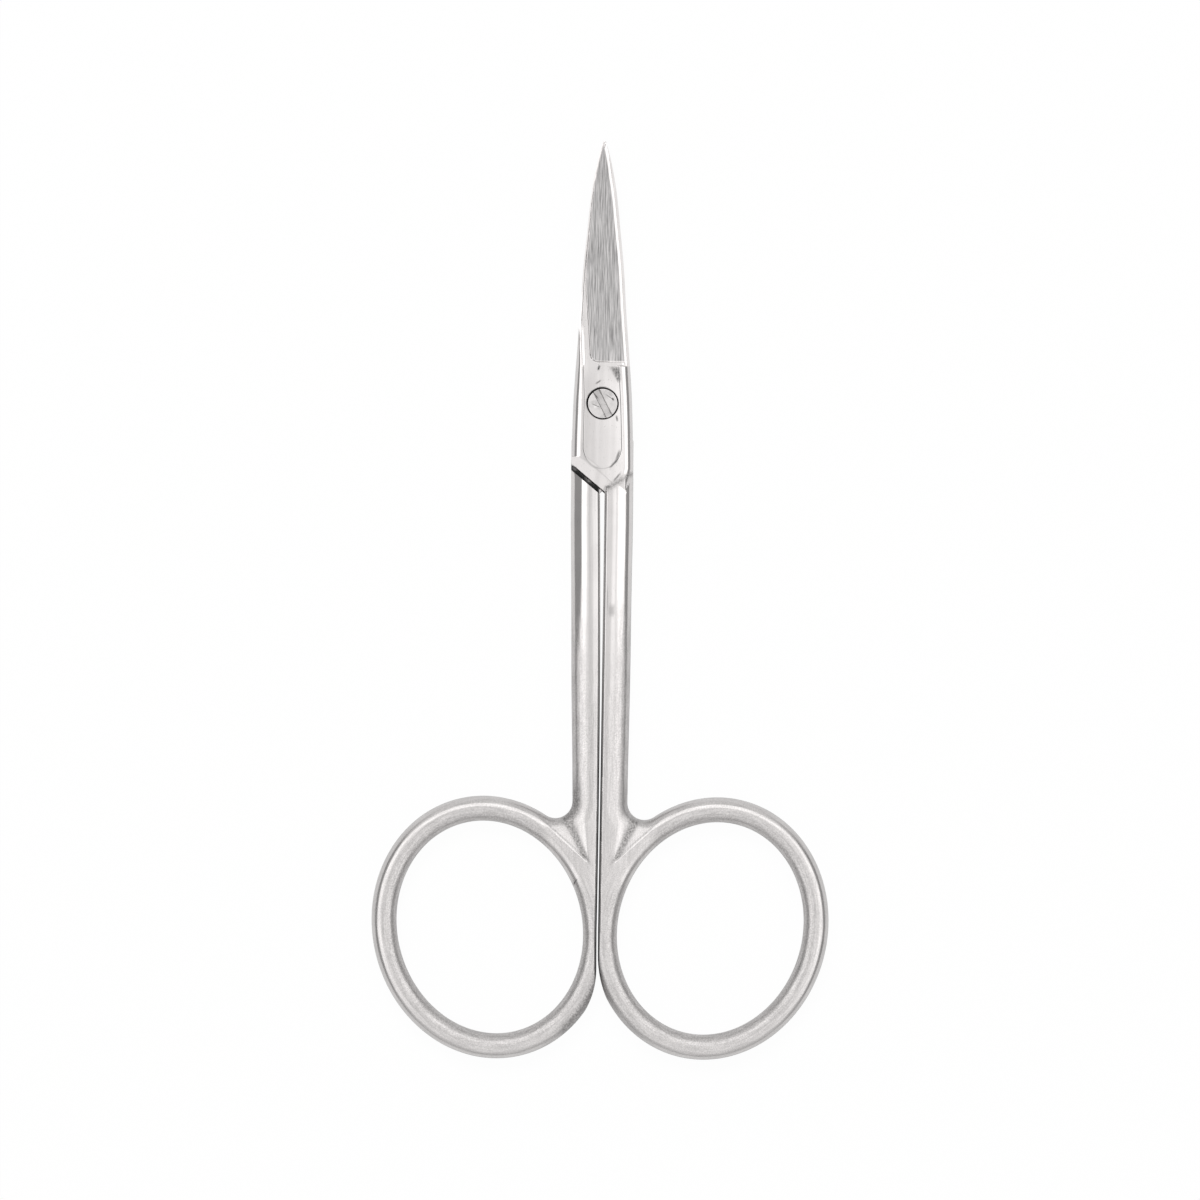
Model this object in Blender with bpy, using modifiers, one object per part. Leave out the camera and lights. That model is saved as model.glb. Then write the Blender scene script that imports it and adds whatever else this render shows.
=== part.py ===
"""Manicure scissors: two forged halves that lap at the joint, held by one slotted pivot screw.

Each half is modelled in its own frame: x to the right, y along the blade towards the tip, z out of
the lap plane, with its shank and finger ring on the +x side and the pivot axis through x = y = 0.
The front half keeps that frame. The back half is the same forging turned half round about y.
"""

import math

import bmesh
import bpy
from mathutils import Matrix, Vector

MM = 0.001

# Joint and screw
JOINT_THICKNESS = 3.2 * MM
LAP_GAP = 0.1 * MM
HEAD_DIAMETER = 2.9 * MM
HEAD_THICKNESS = 0.75 * MM
HEAD_CHAMFER = 0.07 * MM
HEAD_CLEARANCE = 0.085 * MM
SEAT_GAP = 0.06 * MM
SCREW_DIAMETER = 1.8 * MM
SCREW_END_CHAMFER = 0.1 * MM
TURNING_CLEARANCE = 0.05 * MM
THREAD_CLEARANCE = 0.03 * MM
SLOT_WIDTH = 0.62 * MM
SLOT_DEPTH = 0.35 * MM
SLOT_TURN = math.radians(27)

# Blade and joint plate, seen from above
BLADE_LENGTH = 25.8 * MM
JOINT_WIDTH = 6.1 * MM
TIP_THICKNESS = 0.32 * MM
EDGE_INSET = 0.33 * MM
EDGE_THICKNESS = 0.06 * MM
EDGE_BEVEL_RUN = 0.25 * MM
EDGE_BEVEL_RISE = 0.45 * MM
FLANK_WIDTH = 1.05 * MM
FLANK_FOOT = 0.55 * MM
SPINE_ROUNDING = 0.12 * MM
EDGE_RUN_OUT = 3.6 * MM
PANEL_STEP = 0.07 * MM
PANEL_EDGE = 0.12 * MM
PANEL_END = 6.45 * MM
PANEL_ROUND_LENGTH = 2.3 * MM
NOSE_LENGTH = 8.35 * MM
NOSE_CORNER = 5.8 * MM
NOSE_FACET_CORNER = 6.4 * MM
NOSE_DRAFT = 0.2 * MM
NOSE_GAP = 0.33 * MM
NOSE_COLLAR = 5.2 * MM
NOSE_BEVEL_RUN = 1.08 * MM
NOSE_BEVEL_DROP = 0.3 * MM
NOSE_FACET_RUN = 0.5 * MM
NOSE_FACET_DROP = 0.14 * MM
NOSE_BLEND = 0.5 * MM
ROOT_INSET = 0.06 * MM

# Ground face of the blade
LEDGE = 3.7 * MM
LEDGE_RAMP = 0.45 * MM
GRIND_CORNER = 0.7 * MM
GRIND_HEEL_SPINE_HEIGHT = 1.2 * MM
GRIND_HEEL_EDGE_HEIGHT = 0.55 * MM
GRIND_TIP_HEIGHT = 0.23 * MM
STRIP_WIDTH = 0.95 * MM

# Shank
SHANK_THICKNESS = 2.8 * MM
SHANK_FLANK = 1.35 * MM
SHANK_ROUNDNESS = 2.2
SHANK_BEVEL = 0.18 * MM
SHANK_END_WIDTH = 5.45 * MM
SHANK_START = 3.6 * MM
SEAM_TOP = 9.4 * MM
SEAM_MIDDLE = 28.0 * MM
SEAM_END = 51.7 * MM

# Finger ring
HOLE_LENGTH = 21.05 * MM
HOLE_WIDTH = 18.12 * MM
RING_LEAN = math.radians(14.7)
RING_DISTANCE = 51.43 * MM
STOCK_WIDTH = 2.45 * MM
STOCK_HEIGHT = 2.7 * MM
STOCK_ROUNDNESS = 2.3
WEB_THICKNESS = 1.6 * MM
WEB_ROUNDING = 0.35 * MM
GUSSET_HEIGHT = 2.6 * MM
GUSSET_REACH = 6.33 * MM
GUSSET_CORNER = 1.3 * MM
CROTCH_RADIUS = 1.67 * MM

# The two forgings differ a little where they were ground by hand
FRONT_RING_OFFSET = 10.92 * MM
FRONT_SEAM = (0.24 * MM, 0.11 * MM, -0.10 * MM)
BACK_RING_OFFSET = 10.73 * MM
BACK_SEAM = (0.20 * MM, 0.07 * MM, 0.24 * MM)

OVERRUN = 1.0 * MM
MERGE = 0.001 * MM
JUMP = 0.05 * MM
SMOOTH_ANGLE = math.radians(32)
ELLIPTIC = 2.0
STRAIGHT = 1.0

# Along the blade: share of the way from the pivot to the tip, share of the joint's half width
OUTLINE_SHARES = (
    (-0.60, 1.0), (-0.35, 1.0), (-0.175, 0.985), (0.0, 0.945), (0.093, 0.9), (0.205, 0.83),
    (0.357, 0.735), (0.512, 0.655), (0.663, 0.53), (0.775, 0.435), (0.853, 0.338),
    (0.93, 0.208), (0.965, 0.131), (1.0, 0.04),
)
# Height of the outer face over the lap, as a share of the way from the tip's height to the joint's
HEIGHT_SHARES = (
    (-0.60, 1.0), (0.08, 1.0), (0.155, 0.96), (0.31, 0.77), (0.465, 0.62), (0.62, 0.47),
    (0.775, 0.30), (0.93, 0.095), (1.0, 0.0),
)
# Width of the rounded flank on the spine side, as a share of the flank at the joint
FLANK_SHARES = (
    (-0.20, 1.0), (0.0, 0.95), (0.08, 0.8), (0.155, 0.57), (0.25, 0.3), (0.35, 0.12), (1.0, 0.08),
)
# How far the foot of that flank has climbed, as a share of the blade's height there
FOOT_SHARES = ((0.155, 0.0), (0.35, 1.0))
# Extra stations near the tip: share of the blade's length left over
TIP_SHARES = (0.0, 0.012, 0.035, 0.07)
# Width of the strip left polished beside the ground face, as a share of its width at the heel
STRIP_SHARES = (
    (0.19, 1.0), (0.25, 0.84), (0.345, 0.64), (0.434, 0.42), (0.55, 0.28), (0.75, 0.2), (1.1, 0.12),
)
# Along the shank: share of the way from the pivot to the ring's centre, share of the taper run out
SHANK_TAPER_SHARES = ((0.0, 0.0), (0.2, 0.0), (0.37, 0.3), (0.52, 0.5), (0.71, 1.0), (1.0, 1.4))
# Beside the ring the shank thins out: share of its width given up, and the flank's most of the width
SHANK_FADE_SHARE = 0.75
SHANK_FLANK_SHARE = 0.6

LAP_STATIONS = 30
ARC_STEPS = 4
SHANK_STATIONS = 15
RING_STATIONS = 72
RING_SIDES = 14
FILLET_STEPS = 8
TURN_STEPS = 48
PANEL_STEPS = 7
GRIND_STATIONS = 14
LEDGE_STEPS = 6
SEARCH_STEPS = 40
SEARCH_POINTS = 720

LAP_HALF_THICKNESS = JOINT_THICKNESS / 2
JOINT_HALF_WIDTH = JOINT_WIDTH / 2
# The gusset starts this far from the pivot, where the crotch ends
GUSSET_TOP = RING_DISTANCE - GUSSET_REACH


def clear_scene():
    for item in list(bpy.data.objects):
        bpy.data.objects.remove(item, do_unlink=True)


def new_collection(name):
    collection = bpy.data.collections.new(name)
    bpy.context.scene.collection.children.link(collection)
    return collection


def steel(name, colour, roughness):
    material = bpy.data.materials.new(name)
    material.use_nodes = True
    shader = material.node_tree.nodes["Principled BSDF"]
    shader.inputs["Base Color"].default_value = (*colour, 1.0)
    shader.inputs["Roughness"].default_value = roughness
    shader.inputs["Metallic"].default_value = 1.0
    return material


def follow(shares, at):
    """A smooth value from a table of (place, value) pairs, with no overshoot between them."""
    places = [pair[0] for pair in shares]
    values = [pair[1] for pair in shares]
    if at <= places[0]:
        return values[0]
    if at >= places[-1]:
        return values[-1]
    slopes = [(values[i + 1] - values[i]) / (places[i + 1] - places[i]) for i in range(len(shares) - 1)]
    rates = [slopes[0]]
    for before, after in zip(slopes, slopes[1:]):
        rates.append(2 * before * after / (before + after) if before * after > 0 else 0.0)
    rates.append(slopes[-1])
    i = max(k for k in range(len(places) - 1) if places[k] <= at)
    run = places[i + 1] - places[i]
    t = (at - places[i]) / run
    start = (1 + 2 * t) * (1 - t) ** 2 * values[i] + t * (1 - t) ** 2 * run * rates[i]
    end = t * t * (3 - 2 * t) * values[i + 1] - t * t * (1 - t) * run * rates[i + 1]
    return start + end


def mesh_object(name, bm, collection, parent):
    bmesh.ops.recalc_face_normals(bm, faces=bm.faces)
    mesh = bpy.data.meshes.new(name)
    bm.to_mesh(mesh)
    bm.free()
    mesh.shade_smooth()
    item = bpy.data.objects.new(name, mesh)
    collection.objects.link(item)
    item.parent = parent
    return item


def as_cutter(item):
    item.hide_render = True
    item.display_type = "WIRE"
    return item


def boolean(item, operation, other):
    modifier = item.modifiers.new(other.name, "BOOLEAN")
    modifier.operation = operation
    modifier.object = other


def smooth_by_angle(item):
    """Last in the stack: round surfaces are shaded smooth, and edges sharper than the angle stay crisp."""
    tree = bpy.data.node_groups.new(item.name + "_shading", "GeometryNodeTree")
    tree.interface.new_socket("Geometry", in_out="INPUT", socket_type="NodeSocketGeometry")
    tree.interface.new_socket("Geometry", in_out="OUTPUT", socket_type="NodeSocketGeometry")
    start = tree.nodes.new("NodeGroupInput")
    end = tree.nodes.new("NodeGroupOutput")
    angle = tree.nodes.new("GeometryNodeInputMeshEdgeAngle")
    gentle = tree.nodes.new("FunctionNodeCompare")
    gentle.operation = "LESS_THAN"
    gentle.inputs["B"].default_value = SMOOTH_ANGLE
    faces = tree.nodes.new("GeometryNodeSetShadeSmooth")
    edges = tree.nodes.new("GeometryNodeSetShadeSmooth")
    edges.domain = "EDGE"
    tree.links.new(angle.outputs["Unsigned Angle"], gentle.inputs["A"])
    tree.links.new(start.outputs["Geometry"], faces.inputs["Geometry"])
    tree.links.new(faces.outputs["Geometry"], edges.inputs["Geometry"])
    tree.links.new(gentle.outputs["Result"], edges.inputs["Shade Smooth"])
    tree.links.new(edges.outputs["Geometry"], end.inputs["Geometry"])
    shading = item.modifiers.new("smooth_by_angle", "NODES")
    shading.node_group = tree


def loft(name, sections, collection, parent):
    """A closed skin over sections that all have as many points, with both ends capped."""
    bm = bmesh.new()
    rings = [[bm.verts.new(point) for point in section] for section in sections]
    for low, high in zip(rings, rings[1:]):
        for i in range(len(low)):
            j = (i + 1) % len(low)
            bm.faces.new((low[i], low[j], high[j], high[i]))
    bm.faces.new(list(reversed(rings[0])))
    bm.faces.new(rings[-1])
    return mesh_object(name, bm, collection, parent)


def prism(name, outline, low, high, collection, parent):
    sections = [[Vector((x, y, z)) for x, y in outline] for z in (low, high)]
    return as_cutter(loft(name, sections, collection, parent))


def block_on_plane(name, point, along, down, size, collection, parent):
    """A block with one face through the point, spanned by two directions, lying on the far side of it."""
    along = along.normalized()
    down = down.normalized()
    outward = along.cross(down).normalized()
    turn = Matrix((along, down, outward)).transposed().to_4x4()
    place = Matrix.Translation(point + outward * size / 2) @ turn @ Matrix.Scale(size, 4)
    bm = bmesh.new()
    bmesh.ops.create_cube(bm, size=1.0, matrix=place)
    return as_cutter(mesh_object(name, bm, collection, parent))


def turned(name, profile, collection, parent):
    """A profile of (radius, height) pairs, from the top of the axis down to its foot, turned about z."""
    mesh = bpy.data.meshes.new(name)
    edges = [(i, i + 1) for i in range(len(profile) - 1)]
    mesh.from_pydata([(radius, 0.0, height) for radius, height in profile], edges, [])
    item = bpy.data.objects.new(name, mesh)
    collection.objects.link(item)
    item.parent = parent
    screw = item.modifiers.new("turned", "SCREW")
    screw.axis = "Z"
    screw.angle = math.tau
    screw.steps = TURN_STEPS
    screw.render_steps = TURN_STEPS
    screw.use_merge_vertices = True
    screw.merge_threshold = MERGE
    return item


def half_width(y):
    return JOINT_HALF_WIDTH * follow(OUTLINE_SHARES, y / BLADE_LENGTH)


def outer_height(y):
    rise = LAP_HALF_THICKNESS - TIP_THICKNESS
    return TIP_THICKNESS + rise * follow(HEIGHT_SHARES, y / BLADE_LENGTH)


def quarter(width, height, roundness):
    """Offsets inward and upward along a flank, from its foot to its top."""
    power = 2 / roundness
    points = []
    for step in range(ARC_STEPS + 1):
        turn = math.pi / 2 * step / ARC_STEPS
        points.append((width * (1 - math.cos(turn) ** power), height * math.sin(turn) ** power))
    return points


def spine_side(y):
    """The flank on the spine side: its outline, width and the height of its foot."""
    edge = -half_width(y)
    top = outer_height(y)
    if y < -NOSE_COLLAR:
        return edge, SPINE_ROUNDING, top - PANEL_STEP - SPINE_ROUNDING
    width = FLANK_WIDTH * follow(FLANK_SHARES, y / BLADE_LENGTH)
    share = follow(FOOT_SHARES, y / BLADE_LENGTH)
    high_foot = max(top - PANEL_STEP - SPINE_ROUNDING, FLANK_FOOT)
    return edge, width, FLANK_FOOT + share * (high_foot - FLANK_FOOT)


def edge_side(y):
    """The other flank: rounded beside the joint plate, a straight bevel on the blade's cutting edge."""
    top = outer_height(y)
    if y > LEDGE:
        edge = half_width(y) - EDGE_INSET * min(1.0, (BLADE_LENGTH - y) / EDGE_RUN_OUT)
        rise = top - PANEL_STEP - EDGE_THICKNESS
        run = min(rise * EDGE_BEVEL_RUN / EDGE_BEVEL_RISE, edge + half_width(y) - 2 * SPINE_ROUNDING)
        return edge, run, EDGE_THICKNESS, STRAIGHT
    fade = follow(((NOSE_FACET_CORNER, 0.0), (NOSE_LENGTH, 1.0)), -y)
    return half_width(y) - NOSE_BLEND * fade, FLANK_WIDTH, FLANK_FOOT, ELLIPTIC


def panel_edges(y, left, right):
    """Where the flat panel ends on each side; its lower end is round."""
    depth = (-y - PANEL_END) / PANEL_ROUND_LENGTH + 1
    share = math.sqrt(max(0.0, 1 - max(0.0, min(depth, 1.0)) ** 2))
    middle = (left + right) / 2
    return middle + (left - middle) * share, middle + (right - middle) * share


def lap_section(y):
    """One closed section of blade or joint plate: flank, shoulder, panel, shoulder, flank."""
    top = outer_height(y)
    shoulder = top - PANEL_STEP
    left, left_width, left_foot = spine_side(y)
    right, right_width, right_foot, roundness = edge_side(y)
    points = [(left, -FLANK_FOOT)]
    points += [(left + dx, left_foot + dz) for dx, dz in quarter(left_width, shoulder - left_foot, ELLIPTIC)]
    inner_left = left + left_width
    inner_right = max(right - right_width, inner_left + 2 * PANEL_EDGE)
    spare = (inner_right - inner_left) / 4
    panel_left, panel_right = panel_edges(y, inner_left, inner_right)
    bank = min(PANEL_EDGE, spare)
    step = PANEL_STEP if panel_right - panel_left > 2 * bank else 0.0
    points += [(min(panel_left, panel_right - 2 * bank) + bank, shoulder + step)]
    points += [(max(panel_right, panel_left + 2 * bank) - bank, shoulder + step)]
    right_flank = quarter(right_width, shoulder - right_foot, roundness)
    points += [(right - dx, right_foot + dz) for dx, dz in reversed(right_flank)]
    points += [(right, -FLANK_FOOT)]
    return [Vector((x, y, z)) for x, z in points]


def lap_places():
    """Stations along the lap, closer where the outline or the section changes fast."""
    low = -(NOSE_LENGTH + NOSE_FACET_RUN)
    places = [low + (BLADE_LENGTH - low) * i / LAP_STATIONS for i in range(LAP_STATIONS)]
    places = [y for y in places if abs(y - LEDGE) > 2 * JUMP and abs(y + NOSE_COLLAR) > 2 * JUMP]
    places += [LEDGE - JUMP, LEDGE + JUMP, -NOSE_COLLAR - JUMP, -NOSE_COLLAR + JUMP]
    start = PANEL_END - PANEL_ROUND_LENGTH
    for i in range(PANEL_STEPS):
        places.append(-start - PANEL_ROUND_LENGTH * math.sin(math.pi / 2 * i / (PANEL_STEPS - 1)))
    places += [BLADE_LENGTH * (1 - share) for share in TIP_SHARES]
    places.sort()
    kept = [places[0]]
    for y in places[1:]:
        if y - kept[-1] > JUMP:
            kept.append(y)
    return kept


def nose_side(side):
    """The plate's pointed lower end: the tip, the direction along one side and the way out of it."""
    tip = Vector((0.0, -NOSE_LENGTH, 0.0))
    corner = NOSE_CORNER if side < 0 else NOSE_FACET_CORNER
    along = Vector((side * JOINT_HALF_WIDTH, NOSE_LENGTH - corner, 0.0)).normalized()
    outward = Vector((-side * along.y, side * along.x, 0.0)) * -1
    return tip, along, outward


def trim_nose(lap, cutters, parent):
    shoulder = LAP_HALF_THICKNESS - PANEL_STEP
    tip, along, outward = nose_side(-1)
    down = outward * NOSE_BEVEL_RUN + Vector((0.0, 0.0, -NOSE_BEVEL_DROP))
    point = tip - outward * NOSE_BEVEL_RUN + Vector((0.0, 0.0, shoulder))
    bevel = block_on_plane(lap.name + "_nose_bevel", point, along, down, 2 * JOINT_WIDTH, cutters, parent)
    boolean(lap, "DIFFERENCE", bevel)
    down = outward * NOSE_DRAFT + Vector((0.0, 0.0, -LAP_HALF_THICKNESS))
    point = tip + Vector((0.0, 0.0, shoulder))
    wall = block_on_plane(lap.name + "_nose_wall", point, along, down, 2 * JOINT_WIDTH, cutters, parent)
    boolean(lap, "DIFFERENCE", wall)
    tip, along, outward = nose_side(1)
    down = outward * NOSE_FACET_RUN + Vector((0.0, 0.0, -NOSE_FACET_DROP))
    point = tip + Vector((0.0, 0.0, shoulder))
    facet = block_on_plane(lap.name + "_nose_facet", point, -along, down, 2 * JOINT_WIDTH, cutters, parent)
    boolean(lap, "DIFFERENCE", facet)


def seam_at(y, seam):
    """The face that looks at the other shank: a gentle curve through three named places."""
    knots = (SEAM_TOP, SEAM_MIDDLE, SEAM_END)
    at = min(max(-y, NOSE_LENGTH), SEAM_END)
    total = 0.0
    for i in range(3):
        weight = 1.0
        for j in range(3):
            if j != i:
                weight *= (at - knots[j]) / (knots[i] - knots[j])
        total += weight * seam[i]
    return total


def shank_outside(y):
    taper = (JOINT_WIDTH - SHANK_END_WIDTH) / 2
    return JOINT_HALF_WIDTH - taper * follow(SHANK_TAPER_SHARES, -y / RING_DISTANCE)


def shank_section(y, seam):
    """Flat with bevelled edges on the seam side, rounded on the outside."""
    inner = seam_at(y, seam)
    height = SHANK_THICKNESS / 2
    outer = shank_outside(y) - ROOT_INSET * follow(((NOSE_CORNER, 1.0), (NOSE_FACET_CORNER, 0.0)), -y)
    start_of_merge = RING_DISTANCE - HOLE_LENGTH / 2 + STOCK_WIDTH
    merge = follow(((start_of_merge, 0.0), (RING_DISTANCE, 1.0)), -y)
    outer -= merge * (outer - inner) * SHANK_FADE_SHARE
    height -= merge * (SHANK_THICKNESS - STOCK_HEIGHT)
    flank = min(SHANK_FLANK, (outer - inner) * SHANK_FLANK_SHARE)
    rise = quarter(flank, height, SHANK_ROUNDNESS)
    points = [(inner, -height + SHANK_BEVEL), (inner, height - SHANK_BEVEL), (inner + SHANK_BEVEL, height)]
    points += [(outer - dx, dz) for dx, dz in reversed(rise)]
    points += [(outer - dx, -dz) for dx, dz in rise[1:]]
    points += [(inner + SHANK_BEVEL, -height)]
    return [Vector((x, y, z)) for x, z in points]


def make_shank(name, seam, collection, parent):
    end = RING_DISTANCE + STOCK_WIDTH / 2
    places = [-SHANK_START - (end - SHANK_START) * i / SHANK_STATIONS for i in range(SHANK_STATIONS + 1)]
    places += [-NOSE_CORNER, -NOSE_FACET_CORNER]
    sections = [shank_section(y, seam) for y in sorted(places)]
    return as_cutter(loft(name, sections, collection, parent))


def ring_point(turn, offset, ring_offset):
    """A point on the leaning oval that runs the given distance outside the finger hole's edge."""
    u = (HOLE_LENGTH / 2 + offset) * math.cos(turn)
    v = (HOLE_WIDTH / 2 + offset) * math.sin(turn)
    lean = math.pi / 2 - RING_LEAN
    x = ring_offset + u * math.cos(lean) - v * math.sin(lean)
    y = -RING_DISTANCE + u * math.sin(lean) + v * math.cos(lean)
    return Vector((x, y, 0.0))


def poly_curve(name, points):
    curve = bpy.data.curves.new(name, "CURVE")
    curve.dimensions = "3D"
    spline = curve.splines.new("POLY")
    spline.points.add(len(points) - 1)
    for knot, point in zip(spline.points, points):
        knot.co = (*point, 1.0)
    spline.use_cyclic_u = True
    return curve


def stock_profile():
    """Half of the ring's stock is flatter than an ellipse and fuller than a circle."""
    power = 2 / STOCK_ROUNDNESS
    points = []
    for i in range(RING_SIDES):
        turn = math.tau * i / RING_SIDES
        x = math.copysign(abs(math.cos(turn)) ** power, math.cos(turn)) * STOCK_WIDTH / 2
        y = math.copysign(abs(math.sin(turn)) ** power, math.sin(turn)) * STOCK_HEIGHT / 2
        points.append((x, y, 0.0))
    return points


def curve_to_mesh(item, name, collection, parent):
    """The evaluated curve as a mesh object of its own, with its doubles merged."""
    bpy.context.view_layer.update()
    graph = bpy.context.evaluated_depsgraph_get()
    mesh = bpy.data.meshes.new_from_object(item.evaluated_get(graph))
    bm = bmesh.new()
    bm.from_mesh(mesh)
    bmesh.ops.remove_doubles(bm, verts=bm.verts, dist=MERGE)
    bpy.data.objects.remove(item, do_unlink=True)
    return mesh_object(name, bm, collection, parent)


def make_ring(name, ring_offset, seam, collection, parent):
    profile = bpy.data.objects.new(name + "_profile", poly_curve(name + "_profile", stock_profile()))
    turns = [math.tau * i / RING_STATIONS for i in range(RING_STATIONS)]
    path = poly_curve(name, [ring_point(turn, STOCK_WIDTH / 2, ring_offset) for turn in turns])
    path.twist_mode = "Z_UP"
    path.bevel_mode = "OBJECT"
    path.bevel_object = profile
    guide = bpy.data.objects.new(name + "_path", path)
    collection.objects.link(profile)
    collection.objects.link(guide)
    ring = as_cutter(curve_to_mesh(guide, name, collection, parent))
    bpy.data.objects.remove(profile, do_unlink=True)
    boolean(ring, "DIFFERENCE", seam_block(name + "_seam", seam, collection, parent))
    return ring


def seam_block(name, seam, collection, parent):
    """What the ring loses where it would cross to the other half."""
    low = RING_DISTANCE + HOLE_LENGTH / 2 + 2 * STOCK_WIDTH
    high = RING_DISTANCE - HOLE_LENGTH / 2 - 2 * STOCK_WIDTH
    places = [-low + (low - high) * i / FILLET_STEPS for i in range(FILLET_STEPS + 1)]
    outline = [(seam_at(y, seam) + 2 * MERGE, y) for y in places]
    outline += [(-JOINT_WIDTH, -high), (-JOINT_WIDTH, -low)]
    return prism(name, outline, -JOINT_THICKNESS, JOINT_THICKNESS, collection, parent)


def crotch_centre(ring_offset):
    """Centre of the round corner that touches both the shank's side and the ring's outer edge."""
    turns = [math.tau * i / SEARCH_POINTS for i in range(SEARCH_POINTS)]
    edge = [ring_point(turn, STOCK_WIDTH, ring_offset) for turn in turns]
    low = RING_DISTANCE - HOLE_LENGTH / 2
    high = RING_DISTANCE - HOLE_LENGTH / 2 - STOCK_WIDTH * 3
    for _ in range(SEARCH_STEPS):
        middle = (low + high) / 2
        centre = Vector((shank_outside(-middle) + CROTCH_RADIUS, -middle, 0.0))
        nearest = min((point - centre).length for point in edge)
        if nearest < CROTCH_RADIUS:
            low = middle
        else:
            high = middle
    return centre, min(edge, key=lambda point: (point - centre).length)


def make_web(name, ring_offset, collection, parent):
    """The thinner metal in the crotch between shank and ring, with a round corner."""
    centre, touch = crotch_centre(ring_offset)
    start = math.pi
    end = math.atan2(touch.y - centre.y, touch.x - centre.x) % math.tau
    outline = []
    for i in range(FILLET_STEPS + 1):
        turn = start + (end - start) * i / FILLET_STEPS
        outline.append(centre + CROTCH_RADIUS * Vector((math.cos(turn), math.sin(turn), 0.0)))
    inward = (touch - centre).normalized()
    outline.append(touch + inward * STOCK_WIDTH / 2)
    root = Vector((JOINT_HALF_WIDTH / 2, centre.y - 2 * STOCK_WIDTH, 0.0))
    outline.append(root)
    outline.append(Vector((JOINT_HALF_WIDTH / 2, centre.y, 0.0)))
    curve = poly_curve(name, outline)
    curve.dimensions = "2D"
    curve.fill_mode = "BOTH"
    curve.extrude = WEB_THICKNESS / 2 - WEB_ROUNDING
    curve.bevel_depth = WEB_ROUNDING
    curve.bevel_resolution = 1
    curve.offset = -WEB_ROUNDING
    flat = bpy.data.objects.new(name + "_outline", curve)
    collection.objects.link(flat)
    return as_cutter(curve_to_mesh(flat, name, collection, parent))


def make_gusset(name, ring_offset, seam, collection, parent):
    """The flat full-height metal below the crotch, where the shank's and the ring's tops run together."""
    turns = [math.tau * i / RING_STATIONS for i in range(RING_STATIONS)]
    crest = [ring_point(turn, STOCK_WIDTH / 2, ring_offset) for turn in turns]
    near = [p for p in crest if seam_at(p.y, seam) + 3 * SHANK_BEVEL < p.x < ring_offset]
    near.sort(key=lambda p: -p.y)
    outline = [(p.x, p.y) for p in near if -RING_DISTANCE < p.y < -GUSSET_TOP]
    low = min(y for x, y in outline)
    outline += [(seam_at(y, seam) + 2 * SHANK_BEVEL, y) for y in (low, -GUSSET_TOP)]
    outline.append((GUSSET_CORNER, -GUSSET_TOP))
    return prism(name, outline, -GUSSET_HEIGHT / 2, GUSSET_HEIGHT / 2, collection, parent)


def cut_lap(half, cutters, parent):
    """Makes room for the other half's blade and joint plate, with a step wall beside its nose."""
    tip, along, outward = nose_side(-1)
    tip = Vector((-tip.x, tip.y, 0.0)) + Vector((-outward.x, outward.y, 0.0)) * (NOSE_DRAFT + NOSE_GAP)
    along = Vector((-along.x, along.y, 0.0))
    reach = JOINT_WIDTH / abs(along.x)
    low_end = tip - along * reach
    high_end = tip + along * reach
    top = BLADE_LENGTH + OVERRUN
    outline = [(low_end.x, low_end.y), (high_end.x, high_end.y), (high_end.x, top), (low_end.x, top)]
    room = prism(half.name + "_lap_room", outline, -JOINT_THICKNESS, LAP_GAP / 2, cutters, parent)
    boolean(half, "DIFFERENCE", room)


def grind_outline(ramp):
    """Edge of the ground face, seen from above: up the strip beside the spine, down past the edge."""
    side = []
    low = LEDGE + ramp + GRIND_CORNER
    high = BLADE_LENGTH + OVERRUN
    for i in range(GRIND_STATIONS):
        y = low + (high - low) * i / (GRIND_STATIONS - 1)
        share = follow(STRIP_SHARES, y / BLADE_LENGTH)
        side.append((-half_width(min(y, BLADE_LENGTH)) + STRIP_WIDTH * share, y))
    corner_x = side[0][0] + GRIND_CORNER
    corner = []
    for i in range(FILLET_STEPS // 2):
        turn = math.pi / 2 * i / (FILLET_STEPS // 2)
        x = corner_x - GRIND_CORNER * math.sin(turn)
        y = LEDGE + ramp + GRIND_CORNER * (1 - math.cos(turn))
        corner.append((x, y))
    ledge = []
    for i in range(LEDGE_STEPS):
        ledge.append((JOINT_HALF_WIDTH + (corner_x - JOINT_HALF_WIDTH) * i / LEDGE_STEPS, LEDGE + ramp))
    return ledge + corner + side + [(JOINT_HALF_WIDTH, BLADE_LENGTH + OVERRUN)]


def grind_height(x, y):
    """The ground plane through three heights: heel at the spine, heel at the edge, and the tip."""
    heel = LEDGE + LEDGE_RAMP
    edge_x = half_width(heel) - EDGE_INSET
    spine_x = -half_width(heel) + STRIP_WIDTH
    across = (GRIND_HEEL_SPINE_HEIGHT - GRIND_HEEL_EDGE_HEIGHT) / (spine_x - edge_x)
    fall = (GRIND_TIP_HEIGHT - GRIND_HEEL_EDGE_HEIGHT + across * edge_x) / (BLADE_LENGTH - heel)
    return GRIND_HEEL_EDGE_HEIGHT + across * (x - edge_x) + fall * (y - heel)


def grind_blade(half, cutters, parent):
    foot = [Vector((x, y, grind_height(x, y))) for x, y in grind_outline(LEDGE_RAMP)]
    brow = [Vector((x, y, LAP_HALF_THICKNESS)) for x, y in grind_outline(0.0)]
    high = [Vector((x, y, LAP_HALF_THICKNESS + OVERRUN)) for x, y in grind_outline(0.0)]
    wheel = as_cutter(loft(half.name + "_grind", [foot, brow, high], cutters, parent))
    boolean(half, "DIFFERENCE", wheel)


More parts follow.
